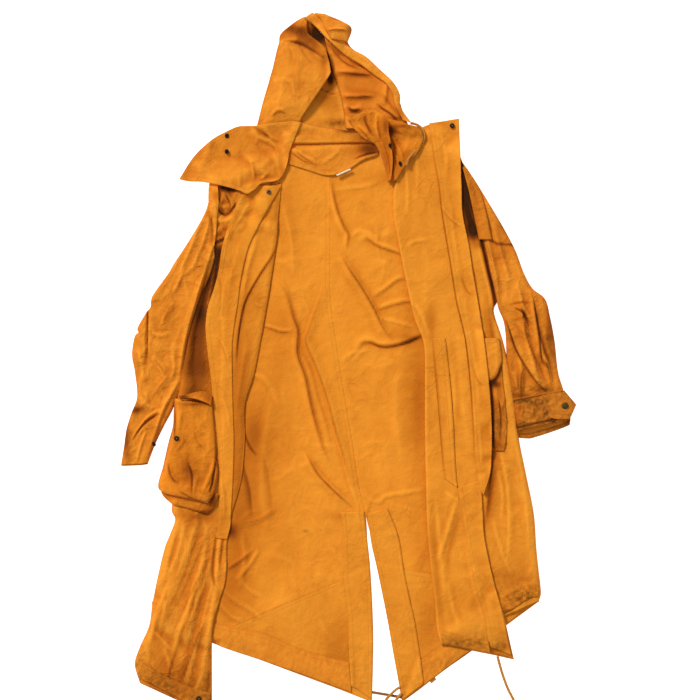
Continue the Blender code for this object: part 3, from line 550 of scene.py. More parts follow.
panel("inside_back_left", [
    (-264, 360, -133, 416, -34, 432), (-264, 312, -145, 342, -34, 352), (-264, 260, -149, 276, -34, 288),
    (-263, 206, -151, 216, -34, 222), (-280, 152, -159, 152, -34, 152), (-296, 102, -165, 102, -30, 102),
    (-310, 42, -165, 42, -21, 42), (-320, -18, -167, -18, -12, -18), (-330, -78, -167, -78, -2, -78),
    (-337, -148, -163, -148, 10, -148), (-339, -224, -159, -224, 21, -224),
    (-341, -296, -155, -296, 36, -296), (-363, -364, -163, -368, 40, -358),
    (-383, -448, -205, -452, 41, -384), (-393, -498, -246, -534, 44, -403)],
    back_rise, canvas_inside, "back_left", sewn=["right"], pitch=3.4,
    grime=[(-83, -330, 5, 3, 0.8), (-60, -440, 60, 40, 0.06)], shade=BACK_SHADE)
panel("inside_back_right", [
    (-35, 432, 105, 432, 222, 416), (-35, 352, 101, 362, 233, 352), (-35, 288, 105, 296, 243, 298),
    (-35, 222, 109, 232, 252, 251), (-35, 152, 121, 160, 274, 164), (-31, 102, 135, 102, 289, 110),
    (-22, 42, 145, 42, 308, 48), (-13, -18, 157, -18, 320, -18), (-3, -78, 165, -78, 329, -78),
    (9, -148, 177, -148, 341, -148), (20, -224, 189, -224, 357, -224), (35.5, -296, 205, -296, 371, -296),
    (51, -358, 209, -364, 376, -364), (55, -379, 197, -390, 379, -409), (59, -398, 185, -420, 383, -446)],
    back_rise, canvas_inside, "back_right", shade=BACK_SHADE, bare=True, pitch=3.4)

# ================================================================ fishtail and hem channel
# Two shaped tails carry the back on below a slanting seam, split by the vent. A turned
# channel for the drawcord runs along the hem, and a straight facing lies down each side of
# the vent. All are of the same canvas and show their insides.

canvas_hem = dyed_canvas("garment-dyed canvas, turned hem", "#e98f28", "#d0761a", worn=0.03, creased=1.8)


def hem_rise(x, y):
    """A channel with a cord in it: a low roll along its middle, gathered across."""
    roll = within(x, y, 18, "left", "right")
    gathers = rumple(x, y, 21, 22, 1.0, grain=70, spread=0.4) + crumple(x, y, 22, 9, 1.3, 2.2, 75)
    return 0.3 + 1.4 * roll + gathers


# painted shade along the tails' slanting seam and in broad patches
panel("tail_piece_left", [
    (-246, -526, -243, -562), (-171, -494, -167, -590), (-95, -461, -89, -619), (-25, -431.5, -19, -645),
    (45, -402, 49, -672)],
    lambda x, y: back_rise(x, y) + 1.1, canvas_facing, "tail_left", sewn=["left"], bare=True, pitch=3.4,
    grime=[(-20, -600, 30, 30, 0.12)],
    shade=[(-10, -560, 40, 60, 0.3), (-200, -560, 70, 24, 0.2),
           (0.45, 8, 4, -240, -524, -171, -493, -95, -460, 45, -401)])
panel("tail_piece_right", [
    (60, -396, 109, -672), (122, -407.5, 147, -644), (185, -418.5, 193, -608), (250, -428, 247, -570),
    (320, -438, 315, -520), (382, -448.6, 383, -470)],
    lambda x, y: back_rise(x, y) + 1.1, canvas_facing, "tail_right", sewn=["left"], bare=True, pitch=3.4,
    shade=[(164, -510, 24, 70, 0.3)])
panel("hem_channel_left", [
    (-391, -470, -391, -498), (-269, -512, -269, -554), (-171, -534, -171, -588), (-81, -570, -81, -619),
    (4, -592, 8, -652)],
    hem_rise, canvas_hem, "hem_band_back_left", sewn=["left"], grime=[(-200, -560, 60, 16, 0.12)])
panel("hem_channel_right", [
    (147, -586, 121, -662), (187, -558, 180, -616), (245, -512, 246, -567), (315, -464, 315, -517),
    (370, -438, 378, -467)],
    hem_rise, canvas_hem, "hem_band_back_right", sewn=["left"], grime=[(200, -595, 60, 16, 0.15)])


def facing_rise(x, y):
    """A turned strip stitched flat: hardly any rise, with fine puckers."""
    return 0.15 + crumple(x, y, 31, 24, 0.7, 1.5, 10)


panel("vent_facing_left_strip", [
    (-13, -292, 33, -290), (-9, -350, 40, -350), (-7, -424, 46, -410), (1, -498, 50, -490),
    (3, -568, 51.5, -560), (7, -638, 49, -666)],
    facing_rise, canvas_facing, "vent_facing_left", sewn=["left", "right"], soften=1,
    grime=[(30, -640, 20, 40, 0.15)])
panel("vent_facing_right_strip", [
    (40, -294, 80, -284), (47, -352, 102, -342), (60, -410, 115, -422), (79, -504, 133, -504),
    (92, -578, 144, -572), (109, -668, 152, -634)],
    facing_rise, canvas_facing, "vent_facing_right", sewn=["left", "right"], soften=1,
    grime=[(120, -640, 20, 40, 0.15)])

# ================================================================ left front, outside up
# The left front is sewn to the back at the side and rolls up and over from there. Its chest
# sinks between the sleeve and the placket, and its skirt hangs in long folds to the hem.

canvas_outside = dyed_canvas("garment-dyed canvas, outside", "#ea932a", "#cd7017", worn=0.03, creased=2.7)

SKIRT_FOLDS = [
    (4.5, 7, 14, -278, -330, -296, -420, -330, -520, -356, -600),
    (4.0, 6, 12, -266, -420, -292, -520, -316, -620, -330, -680),
    (3.6, 9, 6, -306, -340, -324, -400, -356, -480), (3.4, 7, 10, -352, -420, -380, -500, -398, -570),
    (3.6, 12, 6, -276, -600, -300, -640, -318, -690), (3.0, 6, 10, -366, -560, -352, -610, -362, -650),
    (-9.0, 14, 15, -258, 268, -272, 200, -286, 130, -300, 70, -306, 0, -300, -56),
    (5.5, 10, 24, -292, -290, -320, -370, -350, -450, -379, -545),
    (4.2, 9, 16, -280, -372, -300, -460, -321, -560),
    (-4.0, 13, 13, -272, -430, -310, -560, -345, -660),
    (6.0, 13, 18, -261, -430, -280, -560, -300, -690),
    (3.4, 12, 10, -322, -300, -337, -368, -362, -430),
    (3.2, 6, 9, -300, -410, -317, -500, -325, -560),
    (-6.0, 4, 5, -262, -338, -269, -404, -265, -440),
    (-5.0, 4, 4, -247, -338, -252, -372, -256, -400),
    (3.0, 6, 8, -254, -340, -258, -400, -262, -440),
    (5.0, 6, 8, -262, 362, -243, 340, -231, 316),
    (5.0, 6, 6, -246, 356, -232, 330, -226, 306),
    (4.0, 6, 6, -262, 334, -250, 318, -234, 320),
    (-5.0, 9, 9, -262, 318, -243, 303, -226, 316),
    (4.0, 7, 7, -268, 296, -246, 288, -226, 300),
    (3.5, 8, 8, -262, 276, -244, 262, -236, 236),
    (3.4, 4, 9, -273, -314, -305, -384, -337, -461, -369, -513),
    (3.2, 9, 4, -266, -346, -282, -416, -318, -513, -350, -570),
    (2.6, 4, 7, -343, -330, -356, -384, -366, -430),
    (3.6, 10, 4, -273, -487, -305, -551, -327, -615, -337, -660),
    (2.4, 4, 8, -392, -525, -368, -548, -350, -570)]
CLOSED = 256, 152     # heights between which the open armhole becomes the closed side


def front_rise(x, y, hollow, table):
    """Rise of a front over the hollow body: a round roll up from the side, then a slow fall to
    the opening. Above the closed side the edge is the open armhole, and there is no roll."""
    heights, depths = np.array(hollow).T
    depth = np.interp(-y, -heights, depths)
    armhole = np.interp(-y, [-CLOSED[0], -CLOSED[1]], [1.0, 0.0])
    off = away(x, y, "left")
    roll = rounded(np.clip(off / 14, 0, 1))
    span = np.hypot(x[:, -1:] - x[:, :1], y[:, -1:] - y[:, :1])
    return depth * np.maximum(roll, armhole) * (1 - 0.94 * off / span) + folds(x, y, table)


def front_left_rise(x, y):
    """The left front's rise, with its small creases and the gathers under the collar."""
    hollow = [(312, 13), (206, 12), (-18, 12), (-224, 10), (-472, 9), (-568, 8), (-636, 7), (-700, 6)]
    small = crumple(x, y, 41, 40, 3.2, 2.4, 105) + crumple(x, y, 42, 18, 0.7, 1.5, 100)
    small = (small + rumple(x, y, 43, 30, 1.2, grain=105)) * np.clip(away(x, y, "right") / 50, 0.1, 1)
    gathers = crumple(x, y, 44, 20, 9.0, 1.6, 60) + crumple(x, y, 45, 11, 2.4, 1.4, 120)
    gathers = gathers * np.clip((y - 262) / 8, 0, 1)
    return front_rise(x, y, hollow, SKIRT_FOLDS) + small + gathers


# painted shade: nearly black in the recess by the sleeve and under the collar wing; lines along the skirt's
# folds
panel("front_left_body", [
    (-263.7, 358, -129, 412), (-263.7, 312, -145, 322), (-266, 260, -151, 256), (-272, 206, -159, 196),
    (-292, 152, -167, 142), (-310, 102, -176, 88), (-324, 42, -186, 32), (-333, -18, -198, -24),
    (-343, -78, -214, -82), (-346, -148, -216, -148), (-344, -224, -222, -224), (-351, -286, -234, -284),
    (-344, -306, -236, -306), (-354, -336, -237, -330), (-365, -364, -241, -358), (-379, -422, -243, -424),
    (-389, -472, -255, -468), (-396, -518, -268, -518), (-415, -562, -271, -568), (-425, -596, -271, -636),
    (-415, -633, -271, -700)],
    front_left_rise, canvas_outside, "front_left", sewn=["bottom"], held="draped", pitch=3.3,
    grime=[(-350, -660, 100, 40, 0.42), (-300, -600, 24, 60, 0.12), (-272, -640, 12, 70, 0.3),
           (-420, -600, 20, 40, 0.4)],
    shade=[(-256, 226, 18, 20, 0.95), (-266, 196, 18, 30, 0.85), (-278, 158, 22, 30, 0.72),
           (-292, 110, 22, 34, 0.8), (-0.45, 2.5, 2.5, -250, 228, -256, 200, -262, 160, -272, 110),
           (-0.3, 2.5, 3, -262, 210, -272, 160, -284, 104), (0.5, 3, 3, -256, 214, -264, 170, -276, 120),
           (-302, 56, 30, 44, 0.68), (-302, -10, 44, 40, 0.66), (-304, -60, 36, 22, 0.5),
           (-238, 355, 26, 8, 1.2), (1.1, 4, 6, -262, 322, -252, 305, -240, 303, -228, 316, -220, 330),
           (-240, 334, 24, 18, 0.32), (-252, 266, 16, 12, 0.5),
           (1.3, 4, 6, -272, 240, -262, 247, -248, 253, -236, 262),
           (0.7, 3, 3, -262, 348, -256, 334, -258, 322), (0.6, 3, 3, -244, 344, -236, 328, -232, 316),
           (0.7, 5, 5, -262, -338, -269, -404, -265, -440),
           (0.65, 4, 4, -247, -330, -252, -372, -256, -410),
           (0.22, 8, 4, -272, -430, -290, -500, -310, -570, -345, -650),
           (0.25, 8, 4, -330, -370, -350, -440, -372, -520),
           (0.18, 8, 4, -296, -380, -310, -460, -330, -560), (-300, -300, 40, 14, 0.5),
           (0.35, 3, 5, -262, -360, -300, -430, -352, -540), (-350, -640, 80, 50, 0.3),
           (0.55, 4, 6, -276, -600, -280, -650, -288, -700),
           (0.35, 7, 3, -268, -350, -285, -416, -321, -513, -352, -570),
           (0.4, 3, 6, -276, -318, -308, -386, -340, -463, -372, -515),
           (0.35, 3, 8, -270, -487, -303, -551, -325, -615, -335, -660), (-294, -468, 12, 26, -0.2),
           (-296, -540, 14, 30, 0.1), (-372, -590, 20, 40, 0.12), (-330, -600, 14, 40, 0.12),
           (0.5, 5, 8, -340, -560, -356, -620, -352, -670), (-382, -470, 10, 50, 0.2)])

# ---------------------------------------------------------------- closure of the left front
# The zip facing lies along the opening and turns down towards the back. The storm flap is a
# doubled strip over it, stitched along its outer edge and free along the inner one.

canvas_flap = dyed_canvas("garment-dyed canvas, pressed flap", "#ec962a", "#d97d1c", creased=1.8)

ZIP_FACING_FOLDS = [
    (2.2, 4, 26, -131, 372, -136, 300, -146, 230, -177, 180, -203, 130, -213, 80, -218, 24),
    (3.0, 9, 9, -180, 262, -200, 190, -212, 120),
    (2.4, 12, 12, -200, 60, -212, -20, -222, -90),
    (2.0, 8, 5, -186, 128, -176, 120, -166, 122)]
STORM_FLAP_FOLDS = [
    (2.6, 7, 9, -189, 340, -209, 300, -233, 266, -245, 226, -251, 190),
    (2.2, 10, 10, -236, 190, -250, 120, -246, 50),
    (1.8, 10, 8, -262, 60, -244, 36, -234, 0),
    (1.8, 8, 8, -252, -60, -240, -90, -234, -130),
    (2.0, 8, 8, -262, -200, -248, -250, -246, -310),
    (1.6, 7, 6, -258, -268, -248, -262, -238, -268)]


def zip_facing_rise(x, y):
    """Turned down towards the back: the inner edge lies lower than the outer one."""
    fall = 2.0 * np.exp(-away(x, y, "right") / 9)
    return 0.6 + folds(x, y, ZIP_FACING_FOLDS) + crumple(x, y, 51, 30, 1.4, 1.8, 80) - fall


def storm_flap_left_rise(x, y):
    """Creased across its width; the free inner edge lies pressed down, a little unevenly."""
    edge = 1 - within(x, y, 20, "right")
    pressed = crumple(x, y, 52, 34, 2.6, 2.0, 95) * (1 - 0.8 * edge)
    return 0.6 * drift(x, y, 60, 8) * edge + folds(x, y, STORM_FLAP_FOLDS) + pressed - 0.6 * edge


# painted shade: a darker band beside the storm flap's free edge, and lines along the strips' folds
panel("zip_facing_left_strip", [
    (-163, 358, -132, 364), (-195, 282, -138, 300), (-215, 232, -141, 250), (-231, 182, -151, 182),
    (-239, 126, -160, 126), (-247, 52, -173, 52), (-249, -18, -187, -18), (-249, -78, -205, -78),
    (-247, -148, -205, -148), (-249, -228, -212, -226), (-253, -298, -232, -296)],
    zip_facing_rise, canvas_inside, "zip_facing_left", held="folded", pitch=2.4, soften=1,
    shade=[(-206, 120, 20, 60, 0.16), (-214, -60, 24, 120, 0.4), (-206, 10, 18, 40, 0.1),
           (0.85, 3, 6, -140, 262, -146, 228, -177, 178, -203, 129, -214, 80, -219, 40, -221, 0),
           (-222, -230, 22, 90, 0.36), (-150, 330, 14, 40, 0.2), (-176, 128, 12, 30, 0.2)])
panel("storm_flap_left_strip", [
    (-191, 362, -133, 358), (-213, 336, -151, 326), (-235, 286, -175, 284), (-250, 236, -197, 238),
    (-256.5, 190, -209, 192), (-267, 152, -215, 157), (-278, 119, -219, 124), (-283, 80, -226, 80),
    (-280, 40, -230, 40), (-273, -18, -230, -18), (-267, -78, -229, -78), (-259, -148, -227, -148),
    (-257, -228, -229, -228), (-258, -304, -233, -300), (-261, -330, -234, -320), (-263, -343, -241, -347)],
    storm_flap_left_rise, canvas_flap, "storm_flap_left", sewn=["left"], held="folded", pitch=2.6, soften=1,
    shade=[(-200, 350, 14, 12, 0.4), (-226, 290, 14, 30, 0.12),
           (0.2, 16, 14, -196, 292, -214, 240, -226, 190, -236, 140, -240, 90, -241, 40),
           (-252, -300, 14, 40, 0.2), (0.35, 3, 3, -216, 300, -236, 262, -248, 224, -252, 190),
           (0.3, 2, 5, -258, 186, -252, 150, -256, 100), (0.3, 3, 3, -262, 60, -250, 40, -238, 6)])
panel("hem_channel_front_left", [
    (-421, -586, -410, -626), (-373, -614, -363, -650), (-325, -636, -319, -673), (-273, -654, -273, -696)],
    lambda x, y: 0.2 + crumple(x, y, 22, 10, 1.6, 2.2, 65), canvas_outside, "hem_band_front_left",
    slot="canvas_worn", sewn=["left"],
    grime=[(-370, -640, 60, 50, 0.5), (-290, -680, 40, 30, 0.6)],
    shade=[(-340, -650, 100, 40, 0.3)])

# ---------------------------------------------------------------- bellows pocket, left
# A bag with a gusset that lets it stand off the front. It is empty and has sagged into
# pleats. Its pointed flap is folded up inside the mouth.

canvas_pocket = dyed_canvas("garment-dyed canvas, handled", "#e5871f", "#c26c14", worn=0.06, creased=3.0)

BAG_FOLDS = [
    (3.0, 10, 4, -366, -190, -359, -199, -352, -222, -336, -231),
    (2.4, 8, 6, -308, -122, -302, -145, -286, -164),
    (4.0, 14, 3, -318, -196, -309, -217, -308, -254),
    (3.0, 7, 7, -299, -214, -304, -240, -307, -262),
    (1.8, 6, 5, -327, -138, -329, -154, -341, -167),
    (6.0, 4, 10, -263, -186, -272, -216, -288, -252),
    (3.5, 3, 4, -260, -200, -265, -226, -272, -252),
    (2.6, 6, 8, -331, -86, -334, -110, -333, -128),
    (2.2, 7, 9, -350, -160, -357, -190, -362, -226),
    (-2.2, 9, 9, -316, -170, -318, -200, -312, -226)]


def bag_rise(x, y):
    """The bag stands up from its three sewn sides and is full a hand in from them."""
    stand = within(x, y, 15, "left", "right", "bottom")
    puff = 9 * rounded(stand) * (1 - 0.25 * drift(x, y, 60, 4))
    sagged = crumple(x, y, 61, 22, 2.6, 1.8, 85) + crumple(x, y, 64, 11, 0.7)
    return puff + folds(x, y, BAG_FOLDS) + sagged * stand


# painted shade in the pocket's pleats, under its flap and along its lower edge
panel("pocket_left_gusset", [
    (-370, -238, -258, -254), (-373, -249, -262, -272), (-366, -262, -270, -286), (-350, -275, -281, -296)],
    lambda x, y: 2.5 * within(x, y, 6, "bottom") + crumple(x, y, 62, 16, 2.4, 1.5, 20),
    canvas_pocket, "pocket_gusset_left", sewn=["bottom"], held="folded", pitch=2.5,
    shade=[(-300, -292, 50, 7, 0.7), (-268, -268, 12, 22, 0.8), (-330, -262, 40, 5, 0.4)])
panel("pocket_left_bag", [
    (-345, -64, -269, -78), (-346, -92, -267, -104), (-348, -120, -264, -140), (-358, -156, -261, -180),
    (-368, -199, -258, -216), (-378, -240, -266, -252), (-366, -253, -279, -274)],
    bag_rise, canvas_pocket, "pocket_left", sewn=["bottom"], held="draped", pitch=2.5,
    grime=[(-318, -210, 30, 40, 0.12)],
    shade=[(0.75, 5, 4, -344, -76, -343, -110, -345, -150), (0.7, 3, 7, -318, -190, -309, -217, -309, -262),
           (0.95, 4, 4, -261, -150, -263, -190, -270, -236, -276, -262),
           (0.7, 4, 4, -264, -205, -272, -240, -284, -262), (0.6, 6, 4, -358, -190, -352, -220, -334, -236),
           (0.6, 4, 5, -338, -246, -310, -262, -282, -270), (-300, -76, 36, 4, 0.6),
           (-318, -200, 14, 26, 0.3), (-316, -222, 40, 30, 0.2), (-340, -180, 20, 50, 0.12),
           (0.4, 4, 6, -307, -120, -302, -145, -284, -166),
           (0.35, 5, 4, -326, -136, -328, -154, -342, -170)])
panel("pocket_left_flap", [
    (-335, -60, -290, -50, -270, -58), (-333, -66, -305, -66, -271, -79)],
    lambda x, y: 0.8 + 2.4 * (1 - within(x, y, 10, "bottom")) + rumple(x, y, 63, 14, 1.0),
    canvas_pocket, "pocket_flap_left", held="folded", pitch=2.0,
    shade=[(-326, -62, 14, 8, 0.8), (-276, -66, 10, 14, 0.5), (0.9, 3, 5, -334, -67, -305, -66, -268, -80)])

# ================================================================ right front, folded back
# The right front rolls up over the hollow from its side, is folded back on itself at the
# chest and shows its inside: a wide clean facing as far as the closure seam.

RIGHT = [  # side seam, folded edge and front edge
    (226, 415.4, 134, 474, 173, 487), (246, 352, 108, 400, 182, 414), (260, 298, 94, 356, 191, 356),
    (273, 251, 93, 302, 199, 300), (292, 164, 105, 232, 209, 236), (299, 131, 112, 197, 215, 199),
    (292, 108, 119, 162, 221, 162), (310, 50, 134, 96, 235, 92), (325, -16, 153, 42, 244, 28),
    (335, -76, 155, -44, 253, -46), (342, -144, 155, -124, 260, -128), (358, -224, 157, -224, 264, -214),
    (372, -296, 159, -308, 269, -296), (377, -364, 165, -386, 275, -366), (382, -412, 174, -462, 290, -420),
    (386, -452, 179, -522, 311, -494), (382, -468, 187, -556, 333, -587)]
SIDE_RIGHT_FOLDS = [
    (3.0, 8, 5, 262, 236, 284, 150, 300, 80, 309, 30),
    (3.4, 12, 4, 300, -150, 318, -240, 322, -330, 318, -400),
    (3.0, 9, 4, 330, -110, 346, -200, 358, -290, 360, -380),
    (2.6, 4, 8, 290, -300, 306, -360, 330, -420),
    (2.4, 8, 4, 296, -200, 308, -250, 306, -310),
    (2.6, 4, 10, 296, -186, 290, -220, 282, -262),
    (2.4, 6, 4, 350, -170, 362, -230, 366, -290)]
TURN = 3.0                # radius of the fold at the chest
DOWN, ACROSS = 3.4, 3.2   # distance between points along the front and across it


def side_right_rise(x, y):
    """The right front from its side seam to the fold, with its creases."""
    hollow = [(300, 13), (164, 11), (-76, 10), (-224, 9), (-364, 8), (-468, 5)]
    small = crumple(x, y, 71, 34, 3.0, 2.4, 98) + rumple(x, y, 70, 34, 1.0, grain=100)
    return front_rise(x, y, hollow, SIDE_RIGHT_FOLDS) + small


table = np.array(RIGHT)
side, crease, opening = table[:, :2], table[:, 2:4], table[:, 4:]
outward = (crease - side) / np.hypot(*(crease - side).T)[:, None]
crease = crease - TURN * outward
down = stations(np.hstack([side, crease]), DOWN)
under_x, under_y = cut(np.hstack([side, crease]), ACROSS, down)
under_z = lay(under_x, under_y, side_right_rise(under_x, under_y))

panel("hem_channel_side_right", [
    (293, -472, 298, -502), (329, -450, 335, -480), (355, -438, 361, -463), (380, -433, 382, -458)],
    lambda x, y: 0.3 + crumple(x, y, 72, 9, 1.8, 1.8, 100), canvas_pocket, "hem_band_side_right",
    slot="canvas_worn", sewn=["left", "right"], pitch=2.0,
    grime=[(350, -458, 50, 18, 0.62), (320, -490, 24, 10, 0.6)])


def pocket_right_rise(x, y):
    """The bag stands up round its edge; its flap, with a rounded end, lies on its top part."""
    flap = 2.6 * np.clip((y + 30 - 34 * np.clip((x - 276) / 30, 0, 1) ** 2) / 4, 0, 1)
    bag = 3.0 * within(x, y, 9, "left", "right", "bottom")
    wrinkled = crumple(x, y, 73, 12, 7.0, 2.6, 95) * np.clip(-(y + 10) / 20, 0.1, 1)
    return (bag + flap + wrinkled) * np.clip((x - 258) / 16, 0.1, 1)


# painted shade under the flap's rounded end and along the bag's folds
panel("pocket_right_bag", [
    (226, 54, 302, 56), (229, 20, 307, 22), (231, -24, 309, -24), (235, -76, 315, -76),
    (241, -128, 318, -128), (247, -166, 312, -170)],
    pocket_right_rise, canvas_outside, "pocket_right", pitch=2.4, sewn=["top"],
    grime=[(300, -120, 14, 40, 0.4)],
    shade=[(1.2, 5, 9, 272, -34, 288, -30, 300, -16, 309, 10), (1.2, 6, 8, 284, -20, 289, -80, 291, -170),
           (294, -36, 11, 8, 0.8), (296, -158, 20, 16, 0.5), (304, -50, 12, 30, 0.15),
           (298, -104, 18, 44, 0.3), (0.8, 3, 4, 300, -60, 306, -100, 304, -150)])

LAPEL_FOLDS = [
    (2.2, 10, 7, 118, 233, 134, 249, 164, 251),
    (3.0, 10, 8, 133, 128, 153, 92, 165, 56),
    (3.5, 9, 12, 221, -262, 200, -330, 179, -398),
    (1.8, 7, 7, 194, -250, 210, -262, 226, -270),
    (2.2, 9, 7, 112, 420, 120, 360, 118, 300),
    (1.4, 7, 7, 136, 440, 140, 380, 136, 330),
    (2.4, 12, 8, 142, 60, 152, -40, 156, -150),
    (2.0, 12, 12, 206, -160, 214, -60, 206, 20),
    (2.6, 14, 10, 176, -260, 186, -360, 196, -470),
    (2.2, 12, 10, 236, -330, 250, -420, 272, -510),
    (2.0, 10, 10, 200, -430, 216, -500, 240, -550)]


def lapel_rise(x, y):
    """The turned-back part: highest over its fold, else flat with soft upright creases."""
    crest = 3.0 * np.exp(-away(x, y, "left") / 22)
    small = crumple(x, y, 74, 56, 2.2, 2.0, 95) + crumple(x, y, 75, 22, 0.45)
    return crest + folds(x, y, LAPEL_FOLDS) + small


over_x, over_y = cut(np.hstack([crease, opening]), ACROSS, down)
over_z = lay(over_x, over_y, lapel_rise(over_x, over_y))
bend = np.radians([22, 45, 68, 90, 112, 135, 158])
reach = np.stack([under_x[:, -1] - under_x[:, 0], under_y[:, -1] - under_y[:, 0]])
reach = TURN * reach / np.hypot(*reach)
turn_x = under_x[:, -1:] + reach[0][:, None] * np.sin(bend)
turn_y = under_y[:, -1:] + reach[1][:, None] * np.sin(bend)
turn_z = under_z[:, -1:] + (over_z[:, :1] - under_z[:, -1:]) * (1 - np.cos(bend)) / 2
front_x, front_y, front_z = (np.hstack(parts) for parts in (
    (under_x, turn_x, over_x), (under_y, turn_y, over_y), (under_z, turn_z, over_z)))
unsewn = np.full((len(down), under_x.shape[1] + len(bend)), UNSEWN)
# painted shade: nearly black in the recess by the strap, a dark line along the sleeve's inner edge, softer
# along the side
cloth("front_right_body", front_x, front_y, front_z, canvas_facing, "front_right",
      hem=np.hstack([unsewn, away(over_x, over_y, "bottom")]), held="folded",
      grime=[(230, -554, 80, 20, 0.4), (270, -520, 40, 26, 0.12), (352, -440, 40, 30, 0.25),
             (300, -420, 20, 50, 0.12)],
      shade=[(229, 400, 12, 30, 1.0), (236, 350, 14, 36, 1.0), (244, 306, 17, 34, 1.0),
             (252, 268, 16, 20, 1.0), (1.15, 9, 8, 258, 300, 271, 232, 281, 186, 290, 146, 298, 86),
             (264, 240, 16, 8, 0.3), (345, -428, 50, 30, 0.12), (236, -470, 60, 50, 0.08),
             (0.5, 10, 30, 276, 150, 290, 60, 300, 0, 306, -100),
             (0.75, 24, 8, 284, -110, 288, -170, 284, -240, 274, -330), (167, 92, 10, 34, 0.35),
             (320, -430, 60, 30, 0.15), (0.3, 10, 30, 170, -300, 176, -400, 190, -520),
             (0.35, 12, 6, 226, -290, 212, -330, 196, -400), (-0.3, 3, 3, 238, 352, 244, 320, 251, 290),
             (-0.26, 3, 3, 246, 330, 252, 300, 257, 272)])

# ---------------------------------------------------------------- closure of the right front
# The storm flap runs the whole way up beside the zip, its outer edge lifted. A facing tape
# covers a seam of the facing, and the facing's lower part and hem are turned up.

STORM_RIGHT_FOLDS = [
    (1.8, 8, 8, 186, 470, 196, 420, 198, 370),
    (2.4, 5, 7, 186, 320, 204, 297, 228, 277),
    (1.6, 8, 8, 206, 330, 212, 260, 222, 200),
    (2.0, 8, 9, 246, 60, 258, -20, 262, -90),
    (1.6, 7, 7, 262, -120, 266, -160, 268, -200)]


def storm_flap_right_rise(x, y):
    """Stitched along its inner edge; the outer edge stands up in a slow wave."""
    lift = (3.2 + 1.6 * drift(x, y, 70, 12)) * (1 - within(x, y, 30, "right")) ** 2
    return 0.8 + lift + folds(x, y, STORM_RIGHT_FOLDS) + crumple(x, y, 76, 40, 1.8, 2.0, 95)


panel("facing_lower", [
    (220, -243, 266, -226), (227, -284, 269, -288), (235, -340, 273, -344), (251, -424, 290, -424),
    (271, -494, 309, -496), (283, -560, 327, -578)],
    lambda x, y: 0.4 + 2.2 * (1 - within(x, y, 16, "right")) ** 2 + crumple(x, y, 78, 16, 1.4, 1.4, 10),
    canvas_facing, "facing_hem_right", sewn=["left"], grime=[(306, -562, 30, 16, 0.45)],
    shade=[(290, -480, 30, 70, 0.08)])
panel("storm_flap_right_strip", [
    (163, 485, 223, 495), (171, 418, 225, 416), (181, 360, 227, 356), (187, 306, 229, 304),
    (198, 240, 241, 244), (207, 184, 249, 190), (217, 124, 259, 132), (233, 56, 271, 56),
    (243, -28, 281, -30), (248, -100, 286, -96), (252, -168, 287, -164), (258, -214, 284, -214),
    (264, -248, 271, -256)],
    storm_flap_right_rise, canvas_facing, "storm_flap_right", sewn=["left"], held="folded",
    shade=[(1.1, 2.5, 3, 164, 484, 172, 418, 182, 360, 188, 306, 199, 240, 208, 184, 218, 124, 234, 56, 244,
            -28, 249, -100, 254, -200),
           (280, -120, 12, 70, 0.2), (0.35, 4, 4, 186, 317, 204, 294, 228, 274),
           (0.4, 4, 5, 226, 180, 238, 150, 252, 140), (0.35, 4, 4, 250, 0, 260, -30, 276, -40)])
panel("facing_tape", [
    (169, 56, 195, 56), (173, 4, 201, 4), (182, -98, 210, -98), (189, -186, 215, -192),
    (193, -224, 219, -242)],
    facing_rise, canvas_facing, "facing_tape_right", sewn=["right"],
    shade=[(1.1, 3, 3, 168, 70, 171, 40, 174, 4, 179, -50, 183, -98, 190, -186, 196, -240)])
panel("hem_turned_front_right", [
    (184, -526, 188.6, -552), (245, -540, 251, -567), (281, -548, 285, -574)],
    lambda x, y: 0.15 + crumple(x, y, 77, 9, 1.6, 1.8, 80), canvas_facing, "hem_band_front_right",
    slot="canvas_worn", sewn=["left", "right"], pitch=2.0, grime=[(230, -556, 70, 22, 0.55)],
    shade=[(230, -552, 80, 20, 0.16)])

# ================================================================ sleeves
# Two-piece sleeves, empty, lying on the floor. The left one is rumpled at the elbow and ends
# in a plain cuff. The right one is gathered into a worn band that closes with a tab.

canvas_sleeve = dyed_canvas("garment-dyed canvas, sleeve", "#ef952b", "#d4781a", worn=0.04, creased=3.4)
canvas_cuff = dyed_canvas("garment-dyed canvas, worn through", "#d98024", "#b26412", worn=0.2, creased=3.4)

